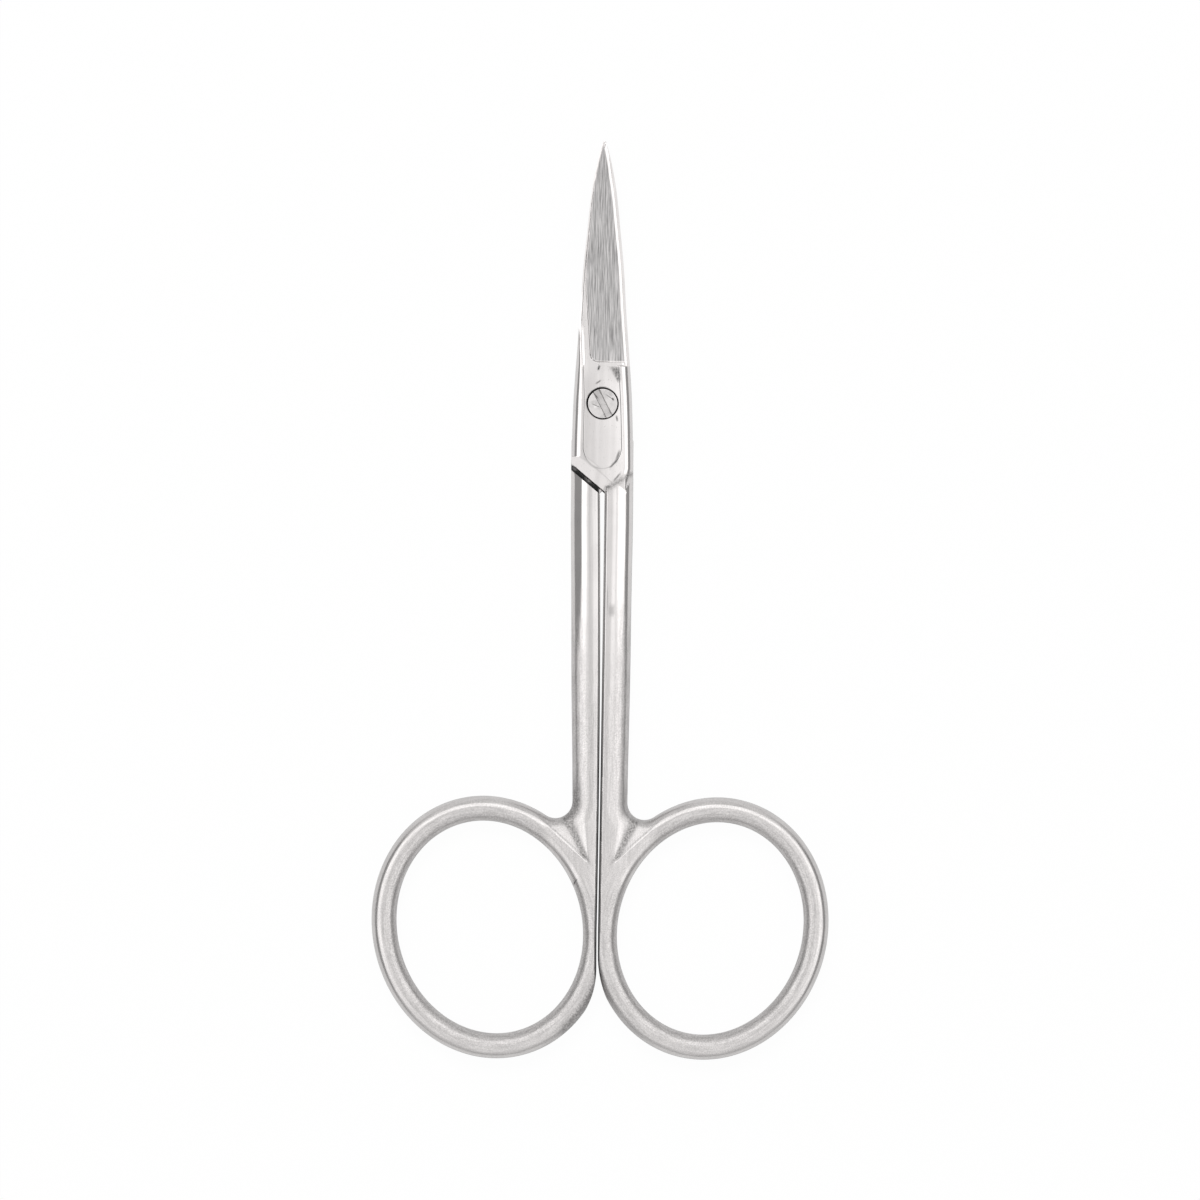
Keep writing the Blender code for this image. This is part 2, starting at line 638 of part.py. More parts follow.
def bore_front(half, cutters, parent):
    """Counterbore for the screw's head and a running hole for its neck."""
    recess = HEAD_DIAMETER / 2 + HEAD_CLEARANCE
    neck = SCREW_DIAMETER / 2 + TURNING_CLEARANCE
    floor = LAP_HALF_THICKNESS - HEAD_THICKNESS - SEAT_GAP
    top = LAP_HALF_THICKNESS + OVERRUN
    profile = [(0.0, top), (recess, top), (recess, floor), (neck, floor), (neck, -OVERRUN), (0.0, -OVERRUN)]
    boolean(half, "DIFFERENCE", as_cutter(turned(half.name + "_bore", profile, cutters, parent)))
    smooth_by_angle(half)


def bore_back(half, cutters, parent):
    """The hole that the screw is driven into."""
    radius = SCREW_DIAMETER / 2 + THREAD_CLEARANCE
    top = LAP_HALF_THICKNESS + OVERRUN
    profile = [(0.0, top), (radius, top), (radius, -OVERRUN), (0.0, -OVERRUN)]
    boolean(half, "DIFFERENCE", as_cutter(turned(half.name + "_bore", profile, cutters, parent)))
    smooth_by_angle(half)


def make_half(name, ring_offset, seam, material, parts, cutters, parent):
    half = loft(name, [lap_section(y) for y in lap_places()], parts, parent)
    trim_nose(half, cutters, parent)
    boolean(half, "UNION", make_shank(name + "_shank", seam, cutters, parent))
    boolean(half, "UNION", make_ring(name + "_ring", ring_offset, seam, cutters, parent))
    boolean(half, "UNION", make_web(name + "_web", ring_offset, cutters, parent))
    boolean(half, "UNION", make_gusset(name + "_gusset", ring_offset, seam, cutters, parent))
    cut_lap(half, cutters, parent)
    grind_blade(half, cutters, parent)
    half.data.materials.append(material)
    return half


def make_screw(name, material, parts, cutters, parent):
    head = HEAD_DIAMETER / 2
    neck = SCREW_DIAMETER / 2
    top = LAP_HALF_THICKNESS
    under = top - HEAD_THICKNESS
    profile = [
        (0.0, top),
        (head - HEAD_CHAMFER, top),
        (head, top - HEAD_CHAMFER),
        (head, under),
        (neck, under),
        (neck, -top + SCREW_END_CHAMFER),
        (neck - SCREW_END_CHAMFER, -top),
        (0.0, -top),
    ]
    screw = turned(name, profile, parts, parent)
    bm = bmesh.new()
    size = Matrix.Diagonal((SLOT_WIDTH, 2 * HEAD_DIAMETER, 2 * SLOT_DEPTH, 1.0))
    place = Matrix.Translation((0.0, 0.0, top)) @ Matrix.Rotation(SLOT_TURN, 4, "Z") @ size
    bmesh.ops.create_cube(bm, size=1.0, matrix=place)
    boolean(screw, "DIFFERENCE", as_cutter(mesh_object(name + "_slot", bm, cutters, parent)))
    screw.data.materials.append(material)
    smooth_by_angle(screw)


def frame_empty(name, parts, turn):
    """An empty on the pivot axis at the lap plane; the pieces of one half hang on it."""
    empty = bpy.data.objects.new(name, None)
    parts.objects.link(empty)
    empty.location = (0.0, 0.0, LAP_HALF_THICKNESS)
    empty.rotation_euler = (0.0, turn, 0.0)
    return empty


def main():
    clear_scene()
    parts = new_collection("manicure_scissors")
    cutters = new_collection("cutters")
    front_steel = steel("front_half_steel", (0.78, 0.77, 0.76), 0.16)
    back_steel = steel("back_half_steel", (0.77, 0.76, 0.76), 0.18)
    screw_steel = steel("screw_steel", (0.70, 0.69, 0.68), 0.30)
    front_frame = frame_empty("front_half_pivot", parts, 0.0)
    back_frame = frame_empty("back_half_pivot", parts, math.pi)
    screw_frame = frame_empty("pivot_screw_axis", parts, 0.0)
    bpy.context.view_layer.update()
    front = make_half(
        "front_blade_half", FRONT_RING_OFFSET, FRONT_SEAM, front_steel, parts, cutters, front_frame
    )
    bore_front(front, cutters, front_frame)
    back = make_half(
        "back_blade_half", BACK_RING_OFFSET, BACK_SEAM, back_steel, parts, cutters, back_frame
    )
    bore_back(back, cutters, back_frame)
    make_screw("pivot_screw", screw_steel, parts, cutters, screw_frame)


main()
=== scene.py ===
import math

import bmesh
import bpy
import numpy as np
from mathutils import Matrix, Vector
from mathutils.geometry import delaunay_2d_cdt
from mathutils.kdtree import KDTree


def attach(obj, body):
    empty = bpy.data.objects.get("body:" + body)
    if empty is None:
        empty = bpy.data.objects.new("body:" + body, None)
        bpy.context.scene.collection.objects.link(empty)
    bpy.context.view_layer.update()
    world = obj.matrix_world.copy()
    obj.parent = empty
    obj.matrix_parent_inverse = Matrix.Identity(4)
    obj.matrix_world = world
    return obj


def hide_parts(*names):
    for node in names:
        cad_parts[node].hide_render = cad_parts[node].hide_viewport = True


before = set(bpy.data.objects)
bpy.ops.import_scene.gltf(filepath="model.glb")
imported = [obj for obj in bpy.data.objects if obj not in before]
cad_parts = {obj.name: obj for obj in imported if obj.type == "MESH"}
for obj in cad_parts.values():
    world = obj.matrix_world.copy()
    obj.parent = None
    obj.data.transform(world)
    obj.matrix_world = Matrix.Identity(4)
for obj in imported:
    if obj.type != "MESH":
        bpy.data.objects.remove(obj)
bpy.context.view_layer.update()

# Lengths in metres: a millimetre, and how close points are welded
MM = 0.001
WELD = 1e-6

# Sizes of the two forged halves, in millimetres, in each half's own frame: x towards its shank,
# y to the tip, z out of the lap plane, the pivot at zero. A pair of places gives where a change
# begins and where it is whole.
LAP_HALF = 1.6
LAP_GAP_HALF = 0.05
BLADE_LENGTH = 25.8
BLADE_START = 5.0
JOINT_HALF_WIDTH = 3.05
TIP_THICKNESS = 0.32
EDGE_INSET = 0.22
EDGE_RUN_OUT = 3.6
EDGE_THICKNESS = 0.06
EDGE_SLOPE = 9.0
EDGE_BEVEL_SLOPE = 0.2
EDGE_BEVEL_DROP = 0.07
EDGE_BEVEL_WIDTH = 0.27
EDGE_BEVEL_BLEND = 0.01
FLANK_WIDTH = 1.05
FLANK_FOOT = 0.55
FLANK_LEAST_RISE = 0.02
SPINE_ROUNDING = 0.12
SPINE_BEVEL_WIDTH = 0.19
SPINE_BEVEL_SLOPE = 0.4
SPINE_BEVEL_TIP_SLOPE = 0.13
PANEL_STEP = 0.085
PANEL_CROWN = 0.035
PANEL_CROWN_RUN_OUT = 2.0
PANEL_BANK = 0.14
PANEL_TO_EDGE = 0.3
PANEL_END = 6.45
PANEL_ROUND_LENGTH = 2.3
STRIP_BANK = 0.32
STRIP_BANK_BEGINS = (3.3, 4.3)
STRIP_BANK_ENDS = (8.2, 5.8)
NOSE_LENGTH = 8.35
NOSE_CORNER = 5.8
NOSE_FACET_CORNER = 6.4
NOSE_DRAFT = 0.2
NOSE_GAP = 0.33
NOSE_COLLAR = 5.2
NOSE_BEVEL_RUN = 1.08
NOSE_BEVEL_DROP = 0.3
NOSE_FACET_RUN = 0.5
NOSE_FACET_DROP = 0.14
NOSE_FACET_BLEND = 0.03
NOSE_BLEND = 0.5
LEDGE = 3.7
LEDGE_RAMP = 0.45
LEDGE_WALL_RUN = 0.12
LEDGE_WALL_WIDENS = (0.6, 1.2)
LEDGE_BROW_SLOPE = 0.2
LEDGE_BROW_LIFT = 0.3
LEDGE_BROW_ENDS = (-0.3, 0.5)
LEDGE_REACH = 0.5
GRIND_SIDE_RUN = 0.13
GRIND_SIDE_DROP = 0.11
GRIND_CORNER = 0.7
GRIND_HEEL_EDGE_HEIGHT = 0.55
GRIND_TIP_HEIGHT = 0.23
GRIND_LEAST_FALL = 0.02
GRIND_LEAST_WIDTH = 0.2
GRIND_OVERRUN = 1.1
STRIP_WIDTH = 0.95
SHANK_HALF = 1.4
SHANK_CROWN = 0.03
SHANK_TAPER = 0.325
SHANK_START = 3.6
SHANK_LEAST_WIDTH = 0.4
SHANK_SIDE_SHARE = 0.8
SHANK_SIDE_RISES = (-7.4, -5.6)
SHANK_SIDE_CHANGES = (14.0, 28.0)
SEAM_DROP = 0.22
SEAM_SLOPE = 0.8
SEAM_PLACES = (9.4, 28.0, 51.7)
SEAM_LEAVING = 2.2
SEAM_LEAVING_BEND = 12.0
HOLE_LENGTH = 21.05
HOLE_WIDTH = 18.12
RING_LEAN = math.radians(14.7)
RING_DISTANCE = 51.43
STOCK_WIDTH = 2.45
STOCK_HALF = 1.35
STOCK_ROUNDNESS = 2.3
CROTCH_RADIUS = 1.67
POCKET_SLOPE = 0.16
POCKET_RING_SIDE = math.radians(41.6)
POCKET_SHANK_SIDE = math.radians(86.3)
POCKET_ROUNDING = 0.1
POCKET_TOP = (-39.0, -42.6)
POCKET_OUTER_END = (4.2, 6.6)
LIP_HEIGHT = 0.06
LIP_WIDTH = 0.22
LIP_START = -0.1
LIP_FOOT_LENGTH = 0.3
LIP_LENGTHENS = (0.3, 1.5)
LIP_EXTRA_LENGTH = 0.6
LIP_FOOT = (1.0, 0.3)
LIP_FOOT_EXTRA = 0.5
LIP_FADES = (0.9, 2.6)
LIP_FADE = 0.75
RECESS_RADIUS = 1.535
RECESS_FLOOR = 0.79
RUNNING_RADIUS = 0.95
DRIVEN_RADIUS = 0.93

# How forms meet: the fall outside an edge, the half length of a change, the reach of a soft corner
OUTSIDE_SLOPE = 40.0
SWITCH_HALF = 0.04
SOFT_CORNER = 0.02
THINNEST = 0.004
CLOSE = 0.02
NOWHERE = -9.0
WAVE_HEIGHT = 0.002
WAVES_RISE = (0.1, 0.6)

# Along the blade: (share of its length, share of a size)
OUTLINE_SHARES = (
    (-0.60, 1.0), (-0.35, 1.0), (-0.175, 0.985), (0.0, 0.945), (0.093, 0.9), (0.205, 0.83),
    (0.357, 0.735), (0.512, 0.655), (0.663, 0.53), (0.775, 0.435), (0.853, 0.338),
    (0.93, 0.208), (0.965, 0.131), (1.0, 0.04),
)
HEIGHT_SHARES = (
    (-0.60, 1.0), (0.08, 1.0), (0.155, 0.96), (0.31, 0.77), (0.465, 0.62), (0.62, 0.47),
    (0.775, 0.30), (0.93, 0.095), (1.0, 0.0),
)
FLANK_SHARES = (
    (-0.20, 1.0), (0.0, 0.95), (0.08, 0.8), (0.155, 0.57), (0.25, 0.3), (0.35, 0.12), (1.0, 0.08),
)
FOOT_SHARES = ((0.155, 0.0), (0.35, 1.0))
STRIP_SHARES = (
    (0.16, 1.5), (0.205, 1.34), (0.25, 1.16), (0.3, 0.96), (0.345, 0.77), (0.396, 0.57),
    (0.434, 0.43), (0.55, 0.28), (0.75, 0.2), (1.1, 0.12),
)
BEVEL_BEGINS = (0.17, 0.3)
BEVEL_FLATTENS = (0.34, 0.46)

# Along the shank: (share of the way to the ring's middle, share of the taper)
SHANK_TAPER_SHARES = ((0.0, 0.0), (0.2, 0.0), (0.37, 0.3), (0.52, 0.5), (0.71, 1.0), (1.0, 1.4))

# Up the shank's rounded side: share of the flank's width in from its edge, share of the half thickness
FRONT_SIDE_SHARES = (
    (0.0, 0.0), (0.04, 0.27), (0.1, 0.43), (0.18, 0.585), (0.24, 0.66), (0.31, 0.73), (0.4, 0.8),
    (0.5, 0.862), (0.6, 0.912), (0.725, 0.962), (0.85, 0.99), (1.0, 1.0),
)
BACK_SIDE_SHARES = (
    (0.0, 0.0), (0.04, 0.22), (0.1, 0.345), (0.18, 0.475), (0.315, 0.645), (0.45, 0.795),
    (0.575, 0.893), (0.69, 0.953), (0.8, 0.982), (0.89, 0.993), (1.0, 1.0),
)
LOW_SIDE_SHARES = (
    (0.0, 0.0), (0.04, 0.3), (0.1, 0.47), (0.15, 0.58), (0.2, 0.66), (0.3, 0.755), (0.45, 0.86),
    (0.6, 0.93), (0.8, 0.98), (1.0, 1.0),
)

# The screw's hole in each forging: (radius, height) from the outer face to the lap face
FRONT_BORE = (
    (1.60, 1.6), (1.54, 1.545), (RECESS_RADIUS, RECESS_FLOOR),
    (RUNNING_RADIUS, RECESS_FLOOR), (RUNNING_RADIUS, LAP_GAP_HALF),
)
BACK_BORE = ((0.98, 1.6), (DRIVEN_RADIUS, 1.55), (DRIVEN_RADIUS, LAP_GAP_HALF))

# Small dark marks: place, size across and along, lean in degrees, strength
FRONT_MARKS = (
    (-0.41, 3.5, 0.1, 0.24, -15.0, 1.0),
    (-0.45, 2.1, 0.07, 0.3, -55.0, 0.81),
    (1.4, -1.45, 0.08, 0.26, 10.0, 0.81),
    (1.5, -5.2, 0.13, 0.6, -18.0, 0.675),
    (1.05, -5.95, 0.09, 0.45, -40.0, 0.675),
    (0.1, -8.6, 0.05, 0.3, 35.0, 1.0),
    (0.55, -8.15, 0.22, 0.12, 0.0, 0.675),
    (1.45, -7.2, 0.08, 0.5, -40.0, 0.675),
    (1.0, -20.3, 0.3, 0.5, 0.0, 0.3375),
    (0.62, -19.2, 0.05, 1.2, 0.0, 0.54),
    (1.02, 3.3, 0.05, 0.28, 12.0, 0.4725),
    (1.3, 3.05, 0.06, 0.4, -4.0, 0.54),
    (1.56, 2.85, 0.05, 0.5, 5.0, 0.54),
    (1.42, 2.3, 0.05, 0.25, 20.0, 0.405),
)
BACK_MARKS = ((2.39, -46.9, 0.06, 0.32, 33.0, 1.0), (0.9, -30.0, 0.05, 1.6, 0.0, 0.3375))
SCREW_MARKS = (
    (-0.66, 0.78, 0.05, 0.33, 38.0, 0.81),
    (0.7, 0.62, 0.05, 0.42, 55.0, 0.675),
    (-0.66, -0.2, 0.05, 0.4, 67.0, 0.675),
    (1.0, 0.45, 0.09, 0.16, 20.0, 0.675),
    (0.15, -1.15, 0.05, 0.2, 20.0, 0.4725),
    (-0.3, 0.2, 0.04, 0.5, 30.0, 0.3375),
)

# The two forgings differ a little where they were ground by hand
FRONT_FORGING = {
    "ring_offset": 10.92,
    "seam": (0.24, 0.11, -0.10),
    "bore": FRONT_BORE,
    "side_width": 2.0,
    "side_shares": FRONT_SIDE_SHARES,
    "pocket_foot": (1.43, -45.1),
    "scuffed": 0.25,
    # Where the seam's painted shade ends, and how strong the painted shade at the screw's rim is
    "seam_shade_end": 57.0,
    "rim_shade": 1.0,
    "marks": FRONT_MARKS,
}
BACK_FORGING = {
    "ring_offset": 10.73,
    "seam": (0.20, 0.07, 0.24),
    "bore": BACK_BORE,
    "side_width": 2.15,
    "side_shares": BACK_SIDE_SHARES,
    "pocket_foot": (1.13, -45.07),
    "scuffed": 0.8,
    # Where the seam's painted shade ends, and how strong the painted shade at the screw's rim is
    "seam_shade_end": 55.8,
    "rim_shade": 0.0,
    "marks": BACK_MARKS,
}

# Painted shade in the joint's gaps and along the seam, in the pocket's crease, round the panel and at the
# screw's rim
BORE_SHADE_DROP = 0.05
NOSE_SHADE = 0.4
NOSE_SHADE_LEVELS = (1.2, 0.1)
NOSE_SHADE_REACH = 1.0
FLOOR_SHADE_WIDTH = (-0.85, -0.25)
FLOOR_SHADE_FROM_SEAM = (0.0, 0.15)
SEAM_SHADE_START = 0.6
SEAM_SHADE_REACH = 8.0
SEAM_SHADE_WIDTH = (0.06, 0.24)
SEAM_SHADE_LEAST = 0.3
SEAM_SHADE_GROWS = (14.0, 40.0)
SEAM_SHADE_FOOT = 0.75
SEAM_SHADE_RUN_OUT = 1.5
RING_SHADE_FOOT = 0.5
RING_SHADE_FOOT_SHARE = 0.6
RING_SHADE_LOSS = 0.45
RING_SHADE_SIDE = 3.0
SHADE_FOOT_BLEND = 0.2
CREASE_SHADE = 0.45
CREASE_WIDTH = 0.06
CREASE_BEGINS = (0.1, 0.35)
CREASE_ENDS = (7.0, 4.5)
PANEL_SHADE = 0.34
PANEL_SHADE_PLACE = 0.05
PANEL_SHADE_WIDTH = 0.1
PANEL_SHADE_BEGINS = (3.0, 5.0)
PANEL_SHADE_SIDE = (0.1, -0.4)
PANEL_LAYER = 0.4
RIM_SHADE_REACH = 1.66
RIM_SHADE_TURN = (0.1, 0.9)
RIM_LAYER = 0.2

# Where the finishes lie
GROUND_FADE = 0.08
GROUND_START = 0.1
GROUND_EDGE_FADES = (EDGE_BEVEL_WIDTH - 0.03, EDGE_BEVEL_WIDTH + 0.05)
VALLEY_FOOT_WIDTH = 0.45
VALLEY_SPREAD = 0.24
VALLEY_FROM_CROTCH = (0.0, 0.5)
VALLEY_FROM_RING = (0.0, 0.25)
FACET_PLACE = 0.25
FACET_WIDTH = 0.3
FACET_SIDE = 0.1
FACET_LOW_END = (-9.2, -8.6)
FACET_HIGH_END = (-6.9, -6.5)
FACET_ROUGHNESS = 0.8
HEEL_PLACE = 1.22
HEEL_TOP = 0.2
HEEL_LEAN = 0.28
HEEL_HALF_WIDTH = 0.5
HEEL_NARROWS = 0.26
HEEL_LEAST_WIDTH = 0.1
HEEL_BEGINS = (-0.2, 0.0)
HEEL_ENDS = (1.5, 1.1)
SCUFFS_BEGIN = (35.5, 39.0)
SCUFFS_DEPTH = (1.2, 0.6)
SCUFFS_END = (4.0, 3.3)
SATIN_SHANK = 0.75
SATIN_SHANK_BEGINS = (18.0, 34.0)
SATIN_FLANK = 1.7
SATIN_FLANK_BEGINS = (14.0, 29.0)
SATIN_FLANK_DEPTH = (1.7, 0.9)
SATIN_FLANK_ENDS = (7.0, 4.0)
SATIN_RING_BELOW = (-44.5, -49.0)
SATIN_RING_BESIDE = (3.8, 6.2)
SATIN_RING_EDGE = (STOCK_WIDTH + 0.1, STOCK_WIDTH - 0.5)
SATIN_RING_INNER = 1.1
SATIN_RING_INNER_DEPTH = (1.4, 0.7)
RING_GRAIN_BELOW = -46.0
RING_GRAIN_BESIDE = 5.0

# The pivot screw
SCREW_HEAD_RADIUS = 1.45
SCREW_HEAD_HEIGHT = 0.75
SCREW_NECK_RADIUS = 0.9
SCREW_CHAMFER = 0.07
SCREW_TURN_STEPS = 144
SCREW_HEAD_STEP = 0.025
SCREW_SHARP_ANGLE = math.radians(35)
SCREW_CORNER_SHARE = 0.3
SCREW_RIM = 0.1
SLOT_WIDTH = 0.62
SLOT_DEPTH = 0.35
SLOT_BANK = 0.06
SLOT_TURN = math.radians(27)
SLOT_LINE = 0.045
# Painted shade along the slot's edges, and on its floor
SLOT_LINE_SHADE = 0.6
SLOT_SHADE = 0.12
SCREW_DENTS = ((0.82, 0.69, 0.2, 0.06), (0.62, 0.85, 0.12, 0.05), (-0.66, -0.15, 0.16, 0.05))

# How finely the forgings' faces are divided
ROW_COUNT = 14
ROW_REACH = 1.22
ROW_GAP = 0.03
FIRST_ROW_GAP = 0.008
ROW_CLEARANCE = 0.45
ROW_KEEPS_DEPTH = 0.93
FILL_CLEARANCE = 0.62
FENCE_STEP = 0.04
HEX_ROW = 0.866
BORE_POINTS = 96
HOLE_POINTS = 240
CURVE_SAMPLES = 2000
OUTLINE_STEP = 0.1
NOSE_STEP = 0.09
SHANK_STEP = 0.5
SHANK_FINE_TO = 12.0
SHANK_COARSE_TO = 36.0
RING_STEP = 0.2
RING_TURN_STEP = 0.028
CROTCH_TURN_STEP = 0.06
LEAVING_STEP = 0.07
SEAM_LEAST_STEP = 0.012
TIP_STEPS = (0.0, 0.05, 0.12, 0.22)
CROTCH_ZONE = ((0.0, -48.0), (8.0, -36.0), 0.12)
COARSE_ZONE = ((-3.0, -60.0), (4.0, 26.0), 0.5)
TOP_ZONES = (((-3.2, -9.6), (3.2, 5.4), 0.09), ((-3.2, 5.4), (3.2, 26.0), 0.17), CROTCH_ZONE, COARSE_ZONE)
LOW_ZONES = (CROTCH_ZONE, COARSE_ZONE)
TOP_BORE_CLEARANCE = 0.04
LOW_BORE_CLEARANCE = 0.1
EDGE_LOOK_IN = 0.005
EDGE_HEIGHT_SHARE = 0.04
STEEP = 0.4

# Rows of plan points that follow the blade's and the plate's forms
SPINE_ROW_DEPTHS = (0.03, 0.07, 0.11, 0.15, 0.18, 0.2, 0.24)
FLANK_ROW_SHARES = (0.35, 0.5, 0.65, 0.8, 1.0)
BANK_ROW_SHARES = (0.25, 0.5, 0.75, 1.0)
STRIP_ROW_SHARES = (0.5, 1.0)
GRIND_ROW_SHIFTS = (-0.13, -0.09, -0.05, -0.01, 0.03, 0.1, 0.2)
EDGE_ROW_DEPTHS = (0.48, 0.37, 0.3, 0.26, 0.2, 0.13, 0.06, 0.012)
BLADE_ROW_LEAST_STEP = 0.024
LEDGE_ROWS = (3.6, 3.66, 3.7, 3.74, 3.85, 3.97, 4.01, 4.05, 4.11, 4.15, 4.19, 4.25)
COLLAR_ROWS = (0.1, 0.04, -0.04, -0.1)
NOSE_ROWS = (-0.06, -0.02, 0.03, 0.1, 0.16)
HEEL_SIDE_ROWS = (-0.12, -0.06, 0.0, 0.06, 0.12)
STRIP_BANK_ROWS = (0.0, 0.07, 0.14, 0.2, 0.27, 0.34)
PANEL_ROWS = (0.0, 0.05, 0.11, 0.16)
ROOM_ROWS = (-0.02, 0.02)
RING_SIDE_ROWS = (-0.1, -0.04, 0.02, 0.08)
SHANK_SIDE_ROWS = (-0.06, 0.06)

# Finishes: lines in a millimetre, colours, roughness, and the height of the relief in metres
FRONT_FINISH = {
    "polish_lines": 14.0,
    "ground_lines": 12.5,
    "brushed_lines": 5.5,
    "polished_roughness": 0.08,
    "satin_roughness": 0.13,
    "relief": 0.0000012,
    "speckle": 0.2,
    "bright": (0.84, 0.817, 0.81, 1.0),
    "smudged": (0.8, 0.778, 0.772, 1.0),
    "ground_dark": (0.22, 0.217, 0.217, 1.0),
    "ground_light": (0.62, 0.609, 0.607, 1.0),
    "rough_dark": (0.24, 0.234, 0.232, 1.0),
    "rough_light": (0.54, 0.526, 0.52, 1.0),
    "satin": (0.62, 0.604, 0.599, 1.0),
    "satin_light": (0.79, 0.77, 0.763, 1.0),
    # The darkest colour: painted shade in the gaps, the seam and the crease, and small dark marks
    "painted_shade_and_marks": (0.035, 0.036, 0.036, 1.0),
}
BACK_FINISH = {**FRONT_FINISH, "bright": (0.85, 0.828, 0.82, 1.0)}
POLISH_STRETCH = 22.0
GROUND_STRETCH = 34.0
BRUSHED_STRETCH = 12.0
CRUMBLE_SCALE = 8000.0
SCUFF_SCALE = 6200.0
GROUND_ROUGHNESS = 0.36
ROUGH_ROUGHNESS = 0.46
# Roughness where the painted shade and the dark marks lie
SHADE_AND_MARKS_ROUGHNESS = 0.5
STEEL_HANDLING = {"Smudge Size": 0.0022, "Pit Size": 0.00035}
SCREW_HANDLING = {"Smudge Size": 0.0007, "Pit Size": 0.00022}
SCREW_BRIGHT = (0.76, 0.741, 0.735, 1.0)
SCREW_SMUDGED = (0.6, 0.585, 0.58, 1.0)
SCREW_PITTED = (0.32, 0.31, 0.30, 1.0)
# Painted shade along and in the screw's slot, and its dark marks
SCREW_SHADE_AND_MARKS = (0.05, 0.05, 0.05, 1.0)
SCREW_RELIEF = 0.000003
FILED_TURN = (0.0, 0.0, 0.25)
FILED_SCALE = (9000.0, 500.0, 900.0)

# Hairline scratches: turn, and how fine they are across
SCRATCH_SETS = ((0.5, 2600.0), (-0.9, 3100.0), (1.35, 2200.0))
SCRATCH_STRETCH = 28
SCRATCH_CHANGE = 400.0

# Table, light and camera
FLOOR_SIZE = 3.0
FLOOR_LEVEL = -0.00002
FLOOR_GREY = 0.6
FLOOR_ROUGHNESS = 0.9
FLOOR_SEEN_SHARE = 0.97
FLOOR_MIRRORED_SHARE = 0.5
FLOOR_MIRRORED_LEVEL = 0.62
OVERHEAD_REACH = 0.13
OVERHEAD_SWING = 0.15
OVERHEAD_FROM = (0.8, 0.92)
FAR_SIDE = (0.45, 0.92)
NEAR_SIDE = (-0.3, -0.85)
STUDIO_TINT = (1.0, 0.993, 0.99, 1.0)
STUDIO_PEAK = 1.5
# Light by height above the table: (share of the way from the horizon to the zenith, level)
SIDE_LEVELS = (
    (0.0, 0.45), (0.03, 0.2), (0.3, 0.2), (0.4, 0.9), (0.5, 0.95), (0.68, 0.92), (0.8, 0.62), (1.0, 0.62),
)
FAR_LEVELS = (
    (0.0, 0.5), (0.36, 0.52), (0.43, 0.3), (0.5, 0.92), (0.6, 0.98), (0.8, 0.95),
    (0.855, 0.5), (0.9, 0.62), (1.0, 0.62),
)
NEAR_LEVELS = ((0.0, 0.3), (0.1, 0.36), (0.3, 0.5), (0.6, 0.6), (1.0, 0.62))
KEY_LAMP = {"place": (-0.12, 0.5, 0.85), "aim": (0.0, -0.02, 0.0), "size": (0.5, 0.35), "power": 7.0}
LENS = 200.0
SENSOR = 36.0
NEAREST_SEEN = 0.01
PICTURE_PIXELS = 1200
PICTURE_SCALE = 0.0982
VIEW_CENTRE = (-0.131, -19.25)
VIEW_ROLL = math.radians(0.4)


def follow(shares, at):
    """A smooth value from a table of (place, value) pairs, with no overshoot between them."""
    places = np.array([pair[0] for pair in shares], float)
    values = np.array([pair[1] for pair in shares], float)
    at = np.clip(np.asarray(at, float), places[0], places[-1])
    run = np.diff(places)
    slope = np.diff(values) / run
    rate = np.zeros(len(places))
    rate[0], rate[-1] = slope[0], slope[-1]
    product = slope[:-1] * slope[1:]
    total = np.where(product > 0, slope[:-1] + slope[1:], 1.0)
    rate[1:-1] = np.where(product > 0, 2 * product / total, 0.0)
    i = np.clip(np.searchsorted(places, at, side="right") - 1, 0, len(run) - 1)
    t = (at - places[i]) / run[i]
    start = (1 + 2 * t) * (1 - t) ** 2 * values[i] + t * (1 - t) ** 2 * run[i] * rate[i]
    return start + t * t * (3 - 2 * t) * values[i + 1] - t * t * (1 - t) * run[i] * rate[i + 1]


def ease(low, high, at):
    """From 0 at one place to 1 at the other, level at both ends."""
    t = np.clip((at - low) / (high - low), 0.0, 1.0)
    return t * t * (3 - 2 * t)


def switched(place, at):
    """0 before a place and 1 past it, with a short change between."""
    return ease(place - SWITCH_HALF, place + SWITCH_HALF, at)


def soft_max(a, b, reach):
    """The larger of two heights, with a round corner where they cross."""
    h = np.clip(0.5 + (a - b) / (2 * reach), 0.0, 1.0)
    return b + (a - b) * h + reach * h * (1 - h)


def soft_min(a, b, reach):
    return -soft_max(-a, -b, reach)


def rounded(depth, width, foot, top):
    """Height of a rounded flank at a depth inward from its edge; steeply down outside the edge."""
    share = np.clip(1 - depth / width, 0.0, 1.0)
    height = foot + (top - foot) * np.sqrt(1 - share ** 2)
    return np.where(depth < 0, foot + OUTSIDE_SLOPE * depth, height)


def half_width(y):
    """From the middle of the blade or the joint plate to its spine."""
    return JOINT_HALF_WIDTH * follow(OUTLINE_SHARES, y / BLADE_LENGTH)


def flank_width(y):
    """Width of the rounded side along the spine."""
    return FLANK_WIDTH * follow(FLANK_SHARES, y / BLADE_LENGTH)


def outer_height(y):
    """Height of the blade's and the plate's outer face over the lap plane."""
    return TIP_THICKNESS + (LAP_HALF - TIP_THICKNESS) * follow(HEIGHT_SHARES, y / BLADE_LENGTH)


def edge_line(y):
    """Where the side away from the spine ends: the plate's flank, or the inset cutting edge."""
    blade = half_width(y) - EDGE_INSET * np.clip((BLADE_LENGTH - y) / EDGE_RUN_OUT, 0.0, 1.0)
    fade = follow(((NOSE_FACET_CORNER, 0.0), (NOSE_LENGTH, 1.0)), -y)
    plate = half_width(y) - NOSE_BLEND * fade
    return plate + (blade - plate) * switched(LEDGE, y)


